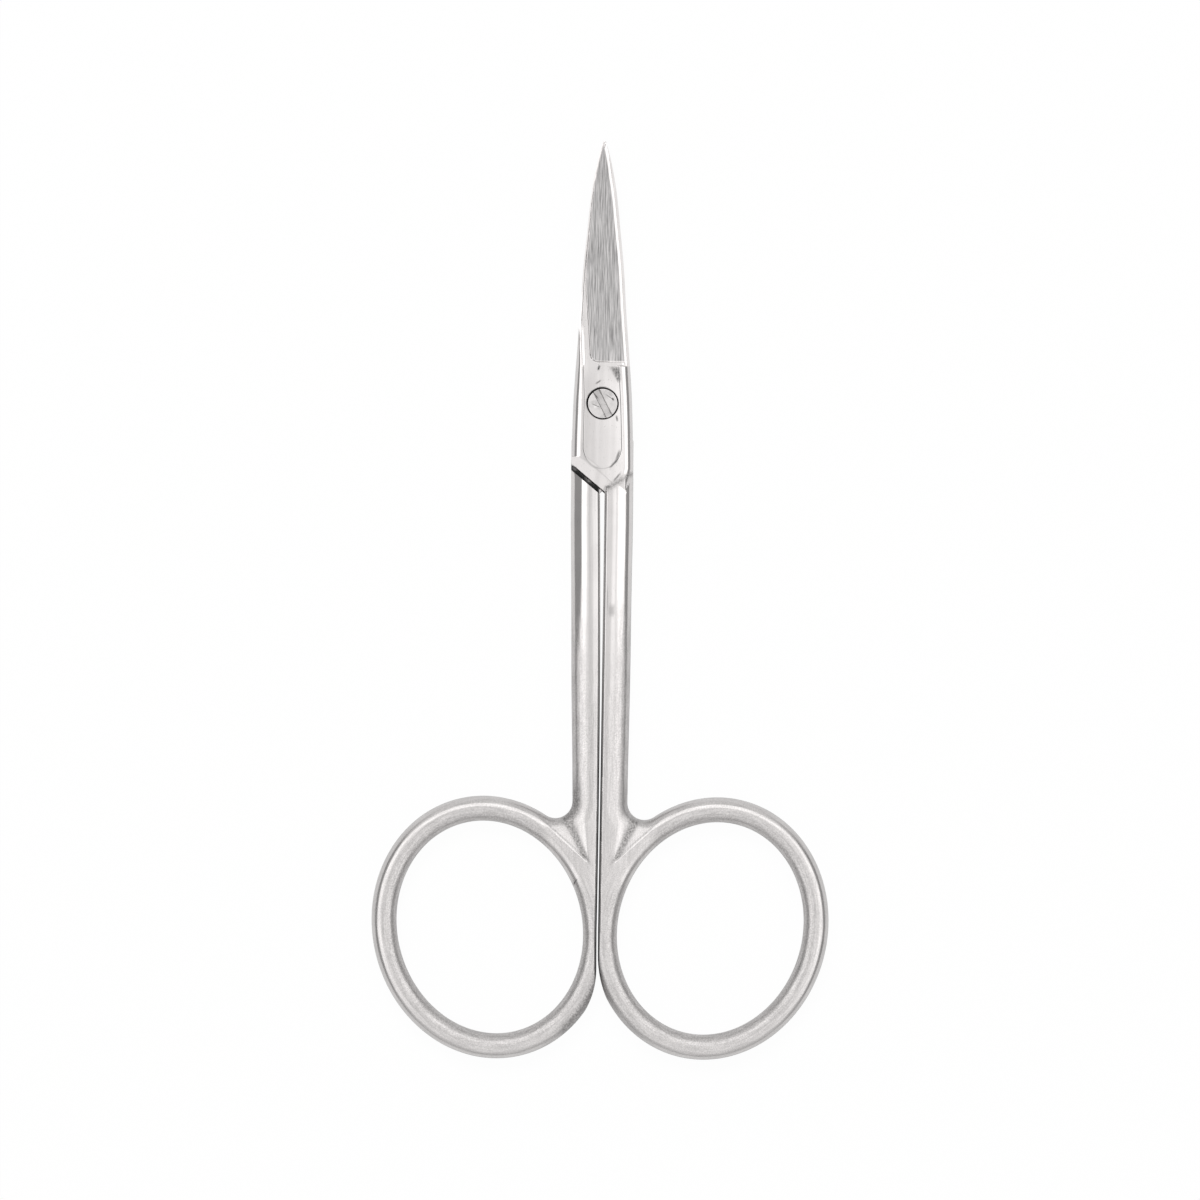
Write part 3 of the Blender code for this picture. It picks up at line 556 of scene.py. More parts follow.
def nose_frame(side, corner=NOSE_CORNER):
    """Along one side of the plate's pointed lower end, straight out of it, and the side's length."""
    along = np.array((side * JOINT_HALF_WIDTH, NOSE_LENGTH - corner))
    size = np.hypot(*along)
    along = along / size
    return along, side * np.array((along[1], -along[0])), size


def nose_out(x, y, side):
    """Distance beyond one side of the plate's pointed lower end."""
    _along, outward, _size = nose_frame(side, NOSE_CORNER if side < 0 else NOSE_FACET_CORNER)
    return outward[0] * x + outward[1] * (y + NOSE_LENGTH)


def grind_edge(y):
    """Where the ground face ends on the spine's side."""
    low = LEDGE + LEDGE_RAMP
    share = follow(STRIP_SHARES, np.maximum(y, low) / BLADE_LENGTH)
    return -half_width(np.clip(y, low, BLADE_LENGTH)) + STRIP_WIDTH * share


def grind_out(x, y):
    """Distance outside the ground face, whose heel has one round corner."""
    left = grind_edge(y) - x + GRIND_CORNER
    below = LEDGE + LEDGE_RAMP - y + GRIND_CORNER
    corner = np.hypot(np.maximum(left, 0.0), np.maximum(below, 0.0))
    return corner + np.minimum(np.maximum(left, below), 0.0) - GRIND_CORNER


def grind_height(x, y):
    """The ground face: it starts just under the strip beside the spine and falls to the cutting edge."""
    heel = LEDGE + LEDGE_RAMP
    along = np.clip((y - heel) / (BLADE_LENGTH - heel), 0.0, 1.0)
    high = outer_height(y) - PANEL_STEP - GRIND_SIDE_DROP
    low = GRIND_HEEL_EDGE_HEIGHT + (GRIND_TIP_HEIGHT - GRIND_HEEL_EDGE_HEIGHT) * along
    low = np.minimum(low, high - GRIND_LEAST_FALL)
    left = grind_edge(y)
    width = np.maximum(edge_line(y) - left, GRIND_LEAST_WIDTH)
    return high + (low - high) * np.clip((x - left) / width, 0.0, GRIND_OVERRUN)


def panel_depth(x, y):
    """Distance into the plate's raised panel, round at its lower end, and the place across it, -1 to 1."""
    left = -half_width(y) + flank_width(y)
    to_edge = np.where(y > LEDGE, PANEL_TO_EDGE, FLANK_WIDTH)
    right = np.maximum(edge_line(y) - to_edge, left + 2 * PANEL_BANK)
    middle = (left + right) / 2
    reach = (right - left) / 2
    across = (x - middle) / reach
    below = np.clip((-y - PANEL_END) / PANEL_ROUND_LENGTH + 1, 0.0, 1.0)
    return (1 - np.hypot(across, below)) * reach, across


def spine_height(from_spine, y, shoulder):
    """The side along the spine: a tight round on the plate, a wide one past it, a bevel up the blade."""
    share = y / BLADE_LENGTH
    climbed = np.maximum(shoulder - SPINE_ROUNDING, FLANK_FOOT)
    foot = FLANK_FOOT + (climbed - FLANK_FOOT) * follow(FOOT_SHARES, share)
    foot = np.minimum(foot, shoulder - FLANK_LEAST_RISE)
    spine = rounded(from_spine, flank_width(y), foot, shoulder)
    slope = SPINE_BEVEL_SLOPE + (SPINE_BEVEL_TIP_SLOPE - SPINE_BEVEL_SLOPE) * ease(*BEVEL_FLATTENS, share)
    bevelled = shoulder - slope * np.maximum(SPINE_BEVEL_WIDTH - from_spine, 0.0)
    spine += (bevelled - spine) * ease(*BEVEL_BEGINS, share)
    collar = rounded(from_spine, SPINE_ROUNDING, shoulder - SPINE_ROUNDING, shoulder)
    return spine + (collar - spine) * switched(NOSE_COLLAR, -y)


def edge_height(x, y, shoulder, ground_side):
    """The side away from the spine: the plate's rounded flank, and past the ledge the cutting edge."""
    from_edge = edge_line(y) - x
    flank = rounded(from_edge, FLANK_WIDTH, FLANK_FOOT, shoulder)
    steep = EDGE_THICKNESS + np.where(from_edge > 0, EDGE_SLOPE, OUTSIDE_SLOPE) * from_edge
    past_bevel = np.maximum(from_edge - EDGE_BEVEL_WIDTH, 0.0)
    shallow = EDGE_BEVEL_SLOPE * from_edge + OUTSIDE_SLOPE * past_bevel
    bevel = soft_min(steep, ground_side - EDGE_BEVEL_DROP + shallow, EDGE_BEVEL_BLEND)
    return flank + (bevel - flank) * switched(LEDGE, y)


def ledge_height(x, y, ground_side):
    """The wall and brow that the grinding wheel left between the ground face and the plate."""
    out = np.maximum(grind_out(x, y), 0.0)
    past_heel = y - LEDGE - LEDGE_RAMP
    rise = LEDGE_WALL_RUN + (GRIND_SIDE_RUN - LEDGE_WALL_RUN) * ease(*LEDGE_WALL_WIDENS, past_heel)
    wall = ground_side + out * (LAP_HALF - ground_side) / rise
    brow = LAP_HALF - (LEDGE_RAMP - out) * LEDGE_BROW_SLOPE
    brow = brow + LEDGE_BROW_LIFT * ease(*LEDGE_BROW_ENDS, past_heel)
    return soft_min(wall, brow, SOFT_CORNER)


def lap_height(x, y):
    """Outer face of blade and joint plate over the lap plane."""
    shoulder = outer_height(y) - PANEL_STEP
    ground_side = grind_height(x, y)
    spine = spine_height(x + half_width(y), y, shoulder)
    edge = edge_height(x, y, shoulder, ground_side)
    z = np.minimum(np.minimum(spine, edge), shoulder)
    inside, across = panel_depth(x, y)
    wide = ease(*STRIP_BANK_BEGINS, y) * ease(*STRIP_BANK_ENDS, y)
    bank = PANEL_BANK + (STRIP_BANK - PANEL_BANK) * wide
    z = z + PANEL_STEP * ease(0.0, bank, inside)
    crown = PANEL_CROWN * np.clip(across, -1.0, 1.0) ** 2
    z = z - crown * ease(0.0, PANEL_CROWN_RUN_OUT, LEDGE - y)
    ledge = soft_min(z, ledge_height(x, y, ground_side), SOFT_CORNER)
    z = np.where(y > LEDGE - LEDGE_REACH, ledge, z)
    plate = LAP_HALF - PANEL_STEP
    out = nose_out(x, y, -1)
    z = soft_min(z, plate - NOSE_BEVEL_DROP * (out / NOSE_BEVEL_RUN + 1), NOSE_FACET_BLEND)
    z = np.minimum(z, plate - out * LAP_HALF / NOSE_DRAFT)
    facet = plate - nose_out(x, y, 1) * NOSE_FACET_DROP / NOSE_FACET_RUN
    return soft_min(z, facet, NOSE_FACET_BLEND)


def seam_at(y, seam):
    """Where a shank's straight side lies: a curve through its three places."""
    at = np.clip(-y, NOSE_LENGTH, SEAM_PLACES[2])
    total = 0.0
    for i, own in enumerate(SEAM_PLACES):
        weight = 1.0
        for j, other in enumerate(SEAM_PLACES):
            if j != i:
                weight = weight * (at - other) / (own - other)
        total = total + weight * seam[i]
    return total


def on_seam(y):
    """Along the seam between the shut halves, and on down the first part of the rings."""
    return (y < -NOSE_LENGTH - SEAM_SHADE_START) & (y > -RING_DISTANCE - SEAM_SHADE_REACH)


def shank_outside(y):
    """Where the shank's outer side lies."""
    return JOINT_HALF_WIDTH - SHANK_TAPER * follow(SHANK_TAPER_SHARES, -y / RING_DISTANCE)


def ring_frame(x, y, ring_offset):
    """Coordinates along the finger hole's long and short axes."""
    lean = math.pi / 2 - RING_LEAN
    dx, dy = x - ring_offset, y + RING_DISTANCE
    return dx * math.cos(lean) + dy * math.sin(lean), -dx * math.sin(lean) + dy * math.cos(lean)


def hole_depth(x, y, ring_offset):
    """Distance outward from the finger hole's edge, and the turn of the nearest place on it."""
    u, v = ring_frame(x, y, ring_offset)
    long, short = HOLE_LENGTH / 2, HOLE_WIDTH / 2
    turn = np.arctan2(v * long, u * short)
    tiny = 1e-6
    for _ in range(5):
        cos, sin = np.cos(turn), np.sin(turn)
        gap_u, gap_v = long * cos - u, short * sin - v
        slope = gap_u * (-long * sin) + gap_v * (short * cos)
        bend = (long * sin) ** 2 + (short * cos) ** 2 + gap_u * (-long * cos) + gap_v * (-short * sin)
        turn = turn - slope / np.where(np.abs(bend) < tiny, tiny, bend)
    px, py = long * np.cos(turn), short * np.sin(turn)
    sign = np.where((u / long) ** 2 + (v / short) ** 2 >= 1, 1.0, -1.0)
    return sign * np.hypot(u - px, v - py), turn


def crotch_place(ring_offset):
    """The round corner that touches the shank's side and the ring's edge, by halving.

    It gives the corner's centre, the turn at which it meets the ring, and that place's turn on the ring.
    """
    low = RING_DISTANCE - HOLE_LENGTH / 2
    high = low - 3 * STOCK_WIDTH
    for _ in range(40):
        middle = (low + high) / 2
        x = float(shank_outside(-middle)) + CROTCH_RADIUS
        depth, _turn = hole_depth(np.array([x]), np.array([-middle]), ring_offset)
        if depth[0] - STOCK_WIDTH < CROTCH_RADIUS:
            low = middle
        else:
            high = middle
    turns = np.linspace(0.0, math.pi / 2, CURVE_SAMPLES)
    outer = on_ring(turns, STOCK_WIDTH, ring_offset)
    nearest = int(np.argmin(np.hypot(*(outer - (x, -middle)).T)))
    touch = outer[nearest]
    meets = math.atan2(touch[1] + middle, touch[0] - x) % math.tau
    return {"crotch": (x, -middle), "crotch_end": meets, "crotch_ring_turn": turns[nearest]}


def pocket_sides(x, y, forging):
    """Distances into the pocket from its edge along the ring and from its edge along the shank."""
    foot_x, foot_y = forging["pocket_foot"]
    dx, dy = x - foot_x, y - foot_y
    from_ring = dy * math.cos(POCKET_RING_SIDE) - dx * math.sin(POCKET_RING_SIDE)
    from_shank = dx * math.sin(POCKET_SHANK_SIDE) - dy * math.cos(POCKET_SHANK_SIDE)
    return from_ring, from_shank


def pocket_drop(x, y, forging):
    """How far the crotch is sunk: a small lip, then two banks that meet in a valley."""
    from_ring, from_shank = pocket_sides(x, y, forging)
    lip_end = LIP_FOOT_LENGTH + LIP_EXTRA_LENGTH * ease(*LIP_LENGTHENS, from_ring)
    lip = LIP_HEIGHT * ease(0.0, LIP_WIDTH, from_ring) * ease(LIP_START, lip_end, from_shank)
    lip = lip * (1 + LIP_FOOT_EXTRA * ease(*LIP_FOOT, from_shank) - LIP_FADE * ease(*LIP_FADES, from_shank))
    inward_by = soft_min(from_ring, from_shank, POCKET_ROUNDING)
    drop = lip + POCKET_SLOPE * np.maximum(inward_by, 0.0)
    return drop * ease(*POCKET_TOP, y) * (1 - ease(*POCKET_OUTER_END, x))


def stock_height(depth):
    """Half thickness of the ring's stock at a depth from its edge; level past its middle."""
    share = np.clip(1 - depth / (STOCK_WIDTH / 2), 0.0, 1.0)
    return STOCK_HALF * (1 - share ** STOCK_ROUNDNESS) ** (1 / STOCK_ROUNDNESS)


def from_outside(x, y, forging, ring_in):
    """Distance in from the outer edge of shank, crotch and ring, and the share of the ring in it."""
    centre_x, centre_y = forging["crotch"]
    turn = np.arctan2(y - centre_y, x - centre_x) % math.tau
    turned = np.clip((turn - math.pi) / (forging["crotch_end"] - math.pi), 0.0, 1.0)
    turned = np.where(turn < math.pi / 2, 1.0, turned)
    corner = np.hypot(x - centre_x, y - centre_y) - CROTCH_RADIUS
    distance = np.where(turned <= 0, shank_outside(y) - x, np.where(turned >= 1, ring_in, corner))
    lower = ease(-RING_DISTANCE - 0.5, -RING_DISTANCE + 0.5, y)
    distance = np.where(lower < 1, np.minimum(distance, ring_in + 4 * lower), distance)
    return distance, ease(0.0, 1.0, turned)


def shank_height(x, y, forging):
    """Half thickness of shank, crotch and ring, the same on both faces."""
    seam = seam_at(y, forging["seam"])
    depth, _turn = hole_depth(x, y, forging["ring_offset"])
    distance, turned = from_outside(x, y, forging, STOCK_WIDTH - depth)
    merge = follow(((RING_DISTANCE - HOLE_LENGTH / 2 + STOCK_WIDTH, 0.0), (RING_DISTANCE, 1.0)), -y)
    turned = np.maximum(turned, merge)
    height = SHANK_HALF - turned * (SHANK_HALF - STOCK_HALF)
    outer = shank_outside(y)
    room = np.maximum(outer - seam, SHANK_LEAST_WIDTH) * SHANK_SIDE_SHARE
    depth_share = np.clip(distance / np.minimum(forging["side_width"], room), 0.0, 1.0)
    shares = follow(forging["side_shares"], depth_share)
    low_shares = follow(LOW_SIDE_SHARES, depth_share)
    shares = shares + (low_shares - shares) * ease(*SHANK_SIDE_CHANGES, -y)
    foot = FLANK_FOOT * ease(*SHANK_SIDE_RISES, y)
    side = foot + (height - foot) * shares
    stock = height / STOCK_HALF
    z = side + (stock_height(distance) * stock - side) * turned
    middle = (outer + seam) / 2
    across = np.clip((x - middle) / np.maximum(outer - middle, SHANK_LEAST_WIDTH), -1.0, 1.0)
    sunk = SHANK_CROWN * across ** 2 * (1 - turned) + pocket_drop(x, y, forging)
    z = z - sunk * np.clip(z / height, 0.0, 1.0)
    z = np.minimum(z, stock_height(depth) * stock)
    from_seam = x - seam
    bevel = height - SEAM_DROP + np.where(from_seam > 0, SEAM_SLOPE, OUTSIDE_SLOPE) * from_seam
    z = soft_min(z, bevel, SOFT_CORNER)
    return np.where(y > -SHANK_START, NOWHERE, np.maximum(z, THINNEST))


def waviness(x, y):
    """The slight unevenness that hand polishing leaves, mostly in long ridges."""
    ridges = np.sin(6.1 * x + 0.11 * y) + 0.7 * np.sin(9.7 * x - 0.16 * y + 1.3)
    swells = np.sin(1.9 * x + 0.7 * y) + np.sin(0.8 * y - 1.3 * x + 2.0)
    return WAVE_HEIGHT * (ridges * ease(-47.0, -43.0, y) + swells) / 3


def outer_face(x, y, forging):
    """Height of a forging's outer face over the lap plane."""
    lap = np.where(y > -NOSE_LENGTH - 1.2, lap_height(x, y), NOWHERE)
    body = shank_height(x, y, forging)
    return soft_max(lap, body, SOFT_CORNER) + waviness(x, y) * ease(*WAVES_RISE, np.maximum(lap, body))


def room_out(x, y):
    """Below zero where the other half's blade and plate need room, on the lap side."""
    return nose_out(-x, y, -1) - NOSE_DRAFT - NOSE_GAP


def inner_face(x, y, forging):
    """Height of a forging's hidden face: the flat of the lap, and the shank's and ring's underside."""
    body = shank_height(x, y, forging)
    under = -body - waviness(x, y) * ease(*WAVES_RISE, body)
    return np.where(room_out(x, y) < 0, LAP_GAP_HALF, under)


def spaced(start, end, gap):
    """Even steps from start to end, none longer than the gap."""
    count = max(2, int(math.ceil(abs(end - start) / gap)) + 1)
    return np.linspace(start, end, count)


def column(x, ys):
    """Plan points with one x, or an x for each y."""
    return np.stack((np.broadcast_to(x, ys.shape), ys), axis=1)


def on_ring(turn, depth, ring_offset):
    """Plan points a given depth outside the finger hole's edge."""
    long, short = HOLE_LENGTH / 2, HOLE_WIDTH / 2
    nu, nv = short * np.cos(turn), long * np.sin(turn)
    size = np.hypot(nu, nv)
    u = long * np.cos(turn) + depth * nu / size
    v = short * np.sin(turn) + depth * nv / size
    lean = math.pi / 2 - RING_LEAN
    x = ring_offset + u * math.cos(lean) - v * math.sin(lean)
    return np.stack((x, -RING_DISTANCE + u * math.sin(lean) + v * math.cos(lean)), axis=1)


def blade_steps():
    """Places up the blade, from the plate to just short of the tip."""
    return spaced(BLADE_START, BLADE_LENGTH - 0.32, OUTLINE_STEP)


def blade_rows():
    """Points across both sides of the blade, in step with its outline."""
    points = []
    for y in blade_steps():
        left, right, ground_from = -float(half_width(y)), float(edge_line(y)), float(grind_edge(y))
        flank = float(flank_width(y))
        strip = max(ground_from - left - flank - 0.12, 0.0)
        places = [left + depth for depth in SPINE_ROW_DEPTHS]
        places += [left + flank * share for share in FLANK_ROW_SHARES]
        places += [left + flank + STRIP_BANK * share for share in BANK_ROW_SHARES]
        places += [left + flank + strip * share for share in STRIP_ROW_SHARES]
        places += [ground_from + shift for shift in GRIND_ROW_SHIFTS]
        places += [right - depth for depth in EDGE_ROW_DEPTHS]
        last = left
        for place in sorted(places):
            if place - last > BLADE_ROW_LEAST_STEP and right - place > 0.01:
                points.append((place, y))
                last = place
    return np.array(points)


def half_outline(forging):
    """Plan outline of a forging, anticlockwise from the tip; with it, which points have a round edge."""
    offset, seam = forging["ring_offset"], forging["seam"]
    pieces = []

    def run(points, is_round):
        pieces.append((np.asarray(points, float), is_round))

    # Down the spine to the nose's corner, and along the nose to the seam
    nose, _outward, _size = nose_frame(-1)
    foot = NOSE_DRAFT * (LAP_HALF - PANEL_STEP - LAP_GAP_HALF) / LAP_HALF
    corner_y = -NOSE_CORNER + foot / nose[0]
    ys = np.concatenate((
        BLADE_LENGTH - np.array(TIP_STEPS), blade_steps()[::-1],
        spaced(BLADE_START - OUTLINE_STEP, -NOSE_COLLAR + SWITCH_HALF, OUTLINE_STEP),
        spaced(-NOSE_COLLAR - SWITCH_HALF, corner_y, OUTLINE_STEP),
    ))
    run(column(-half_width(ys), ys), False)
    seam_x = seam_at(np.array([-NOSE_LENGTH]), seam)[0]
    seam_y = -NOSE_LENGTH + (foot + nose[1] * seam_x) / nose[0]
    length = JOINT_HALF_WIDTH + seam_x
    share = spaced(0.0, length, NOSE_STEP)[1:-1, None] / length
    corner, joint = np.array((-JOINT_HALF_WIDTH, corner_y)), np.array((seam_x, seam_y))
    run(corner + (joint - corner) * share, False)

    # Down the seam, closer together where the wall beside the other half's nose meets it
    turns = np.linspace(math.pi / 2, math.pi, CURVE_SAMPLES)
    outer = on_ring(turns, STOCK_WIDTH, offset)
    first = int(np.argmax(outer[:, 0] > seam_at(outer[:, 1], seam)))
    wall_y = -NOSE_LENGTH + (nose[1] * seam_x - NOSE_DRAFT - NOSE_GAP) / -nose[0]
    ys = np.concatenate((
        (seam_y, seam_y - 0.03), spaced(seam_y - 0.1, wall_y + 0.08, 0.08), (wall_y + 0.02, wall_y - 0.02),
        spaced(wall_y - 0.08, -SHANK_FINE_TO, OUTLINE_STEP),
        spaced(-SHANK_FINE_TO - SHANK_STEP, -SHANK_COARSE_TO, SHANK_STEP),
        spaced(-SHANK_COARSE_TO - RING_STEP, outer[first, 1] + SEAM_LEAVING, RING_STEP),
    ))
    ys = np.sort(ys[ys <= seam_y])[::-1]
    ys = ys[np.concatenate(((True,), -np.diff(ys) > SEAM_LEAST_STEP))]
    run(column(seam_at(ys, seam), ys), False)

    # Off the seam in a bend, round the ring, and round the crotch to the shank's outer side
    left_at = turns[first] + SEAM_LEAVING / SEAM_LEAVING_BEND
    share = spaced(0.0, 1.0, LEAVING_STEP)[1:-1, None]
    start = np.array((float(seam_at(ys[-1:], seam)[0]), ys[-1]))
    last = on_ring(np.array([left_at]), STOCK_WIDTH, offset)[0]
    run((1 - share) ** 2 * start + 2 * share * (1 - share) * outer[first] + share ** 2 * last, False)
    ring_end = math.tau + forging["crotch_ring_turn"]
    run(on_ring(spaced(left_at, ring_end, RING_TURN_STEP), STOCK_WIDTH, offset), True)
    centre = np.array(forging["crotch"])
    bend = spaced(forging["crotch_end"], math.pi, CROTCH_TURN_STEP)[1:-1]
    run(centre + CROTCH_RADIUS * np.stack((np.cos(bend), np.sin(bend)), axis=1), True)

    # Up the shank's outer side, the plate's flank and the cutting edge
    room_y = -NOSE_CORNER + (NOSE_DRAFT + NOSE_GAP) / nose[0]
    ys = np.concatenate((
        spaced(centre[1], -SHANK_COARSE_TO - RING_STEP, RING_STEP),
        spaced(-SHANK_COARSE_TO, -SHANK_FINE_TO - SHANK_STEP, SHANK_STEP),
        spaced(-SHANK_FINE_TO, room_y - 0.06, OUTLINE_STEP),
    ))
    run(column(shank_outside(ys), ys), True)
    ys = np.concatenate((
        spaced(room_y + 0.06, LEDGE - 0.06, OUTLINE_STEP),
        spaced(LEDGE - SWITCH_HALF, LEDGE + SWITCH_HALF, SWITCH_HALF / 2),
    ))
    run(column(np.where(ys < -SHANK_START, shank_outside(ys), edge_line(ys)), ys), False)
    up_edge = spaced(LEDGE + OUTLINE_STEP, BLADE_START - OUTLINE_STEP, OUTLINE_STEP)
    ys = np.concatenate((up_edge, blade_steps(), BLADE_LENGTH - np.array(TIP_STEPS[:0:-1])))
    run(column(edge_line(ys), ys), False)
    points = np.concatenate([piece for piece, _flag in pieces])
    flags = np.concatenate([np.full(len(piece), flag) for piece, flag in pieces])
    return points, flags


def inward(loop):
    """Unit normals that point to the left of a closed loop's direction."""
    ahead = np.roll(loop, -1, axis=0) - np.roll(loop, 1, axis=0)
    normal = np.stack((-ahead[:, 1], ahead[:, 0]), axis=1)
    return normal / np.linalg.norm(normal, axis=1, keepdims=True)


def inside(points, loop):
    """Which points lie inside a closed loop, by counting crossings."""
    within = np.zeros(len(points), bool)
    for (ax, ay), (bx, by) in zip(loop, np.roll(loop, -1, axis=0)):
        if ay != by:
            across = (points[:, 1] > min(ay, by)) & (points[:, 1] <= max(ay, by))
            within ^= across & (points[:, 0] < ax + (points[:, 1] - ay) * (bx - ax) / (by - ay))
    return within


def tree_of(points):
    """The points in a tree that finds the nearest one."""
    tree = KDTree(len(points))
    for i, (x, y) in enumerate(points):
        tree.insert((x, y, 0.0), i)
    tree.balance()
    return tree


def clear_of(points, taken, gap):
    """The points that keep a gap to those already taken."""
    tree = tree_of(taken)
    free = [tree.find((x, y, 0.0))[2] > gap for x, y in points]
    return points[np.array(free, bool)] if len(points) else points


def thinned(points, gap):
    """The points with none closer than the gap to an earlier one."""
    cells = {}
    kept = []
    for x, y in points:
        cell = (math.floor(x / gap), math.floor(y / gap))
        near = (p for i in (-1, 0, 1) for j in (-1, 0, 1) for p in cells.get((cell[0] + i, cell[1] + j), ()))
        if all((p[0] - x) ** 2 + (p[1] - y) ** 2 > gap * gap for p in near):
            cells.setdefault(cell, []).append((x, y))
            kept.append((x, y))
    return np.array(kept).reshape(-1, 2)


def dense(loop, gap):
    """The same loop with points no further apart than the gap."""
    points = []
    for a, b in zip(loop, np.roll(loop, -1, axis=0)):
        count = max(1, int(math.ceil(np.hypot(*(b - a)) / gap)))
        points.append(a + (b - a) * np.arange(count)[:, None] / count)
    return np.concatenate(points)


def row_depths():
    """Depths at equal turns round the edge of the stock."""
    turns = np.linspace(0.0, math.pi / 2, ROW_COUNT + 1)[1:]
    return ROW_REACH * (1 - np.cos(turns) ** (2 / STOCK_ROUNDNESS))


def fill_grid(low, high, gap):
    """Points in a box at equal distances from their neighbours."""
    xs = np.arange(low[0], high[0], gap)
    ys = np.arange(low[1], high[1], gap * HEX_ROW)
    grid = np.array(np.meshgrid(xs, ys)).reshape(2, -1).T
    odd = np.round((grid[:, 1] - low[1]) / (gap * HEX_ROW)) % 2 == 1
    grid[:, 0] += np.where(odd, gap / 2, 0.0)
    return grid


def plan_points(loops, walled, feature_rows, zones):
    """All the plan points of one face: its loops, rows along its features and edges, and a fill.

    The first of the feature rows may come closer to the outline than the others.
    """
    taken = np.concatenate(loops)
    fence_tree = tree_of(np.concatenate([dense(loop, FENCE_STEP) for loop in loops]))
    extra = []

    def take(points):
        extra.append(points)
        return np.concatenate((taken, points))

    for i, row in enumerate(feature_rows):
        gap = FIRST_ROW_GAP if i == 0 else ROW_GAP
        taken = take(clear_of(row[inside(row, loops[0])], taken, gap))
    depths = row_depths()
    gaps = np.diff(np.concatenate(([0.0], depths)))
    for loop, keep in walled:
        normals = inward(loop)
        for depth, gap in zip(depths, gaps * ROW_CLEARANCE):
            row = (loop + normals * depth)[keep]
            far = [fence_tree.find((x, y, 0.0))[2] > ROW_KEEPS_DEPTH * depth for x, y in row]
            taken = take(clear_of(thinned(row[np.array(far, bool)], gap), taken, gap))
    for low, high, gap in zones:
        grid = fill_grid(low, high, gap)
        taken = take(clear_of(grid[inside(grid, loops[0])], taken, FILL_CLEARANCE * gap))
    return np.concatenate(extra)


def triangulate(loops, free):
    """Triangles over the loops and the free points, with the inner loops left open."""
    for loop in loops[1:]:
        free = free[~inside(free, loop)]
    points = np.concatenate(loops + [free])
    edges = []
    start = 0
    for loop in loops:
        count = len(loop)
        edges += [(start + i, start + (i + 1) % count) for i in range(count)]
        start += count
    flat = [Vector((x, y)) for x, y in points]
    _co, _edges, faces, origin, _oe, _of = delaunay_2d_cdt(flat, edges, [], 1, 1e-6)
    first = np.array([min(ids) if ids else -1 for ids in origin])
    triangles = first[np.array(faces)]
    triangles = triangles[(triangles >= 0).all(axis=1)]
    middle = points[triangles].mean(axis=1)
    for loop in loops[1:]:
        out = ~inside(middle, loop)
        triangles, middle = triangles[out], middle[out]
    a, b, c = (points[triangles[:, i]] for i in range(3))
    turn = (b[:, 0] - a[:, 0]) * (c[:, 1] - a[:, 1]) - (b[:, 1] - a[:, 1]) * (c[:, 0] - a[:, 0])
    triangles[turn < 0] = triangles[turn < 0][:, ::-1]
    return points, triangles


def gradient_normals(height, forging, points, shift):
    """Normals of a height over plan points; edge points look a little inside."""
    x, y = (points + shift).T
    step = 0.002
    dx = (height(x + step, y, forging) - height(x - step, y, forging)) / (2 * step)
    dy = (height(x, y + step, forging) - height(x, y - step, forging)) / (2 * step)
    normal = np.stack((-dx, -dy, np.ones_like(dx)), axis=1)
    return normal / np.linalg.norm(normal, axis=1, keepdims=True)


def circle(radius):
    """Plan points round the screw's hole."""
    turn = np.arange(BORE_POINTS) * math.tau / BORE_POINTS
    return np.stack((radius * np.cos(turn), radius * np.sin(turn)), axis=1)


def level_row(start, end, gap, y):
    """A row of plan points straight across."""
    xs = np.arange(start, end, gap)
    return np.stack((xs, np.full_like(xs, y)), axis=1)


def nose_row(side, start, past_end, gap, out):
    """A row of plan points beside one side of the plate's pointed end."""
    along, outward, size = nose_frame(side)
    steps = np.arange(start, size + past_end, gap)[:, None]
    return np.array((0.0, -NOSE_LENGTH)) + along * steps + outward * out


def lap_features():
    """Rows of plan points along the ledge, the collar, the nose, the ground face and the panel."""
    rows = [level_row(-3.1, 3.1, 0.1, y) for y in LEDGE_ROWS]
    rows += [level_row(-3.04, -1.8, 0.07, y - NOSE_COLLAR) for y in COLLAR_ROWS]
    rows += [nose_row(-1, -0.9, 0.0, 0.08, out) for out in NOSE_ROWS]
    ys = np.arange(4.3, BLADE_START - 0.05, 0.1)
    rows += [column(grind_edge(ys) - shift, ys) for shift in HEEL_SIDE_ROWS]
    ys = np.arange(3.6, BLADE_START - 0.05, 0.1)
    rows += [column(-half_width(ys) + flank_width(ys) + rim, ys) for rim in STRIP_BANK_ROWS]
    turns = np.linspace(0.0, math.pi, 60)
    round_start = -PANEL_END + PANEL_ROUND_LENGTH
    ys = np.arange(3.5, round_start, -0.1)
    left = -half_width(ys) + flank_width(ys)
    right = edge_line(ys) - FLANK_WIDTH
    middle = (left + right) / 2
    end_reach = (right[-1] - left[-1]) / 2
    for rim in PANEL_ROWS:
        reach = (right - left) / 2 - rim
        rows += [column(middle - reach, ys), column(middle + reach, ys)]
        share = 1 - rim / end_reach
        xs = middle[-1] - end_reach * share * np.cos(turns)
        rows.append(column(xs, round_start - PANEL_ROUND_LENGTH * share * np.sin(turns)))
    return rows


def pocket_features(forging):
    """Rows along the pocket's two edges and its valley."""
    foot = np.array(forging["pocket_foot"])
    steps = np.arange(0.0, 6.0, 0.1)[:, None]
    valley = (POCKET_RING_SIDE + POCKET_SHANK_SIDE) / 2
    lines = ((POCKET_RING_SIDE, RING_SIDE_ROWS), (POCKET_SHANK_SIDE, SHANK_SIDE_ROWS), (valley, (0.0,)))
    rows = []
    for turn, shifts in lines:
        ahead = np.array((math.cos(turn), math.sin(turn)))
        aside = np.array((-ahead[1], ahead[0]))
        rows += [foot + ahead * steps + aside * shift for shift in shifts]
    return rows


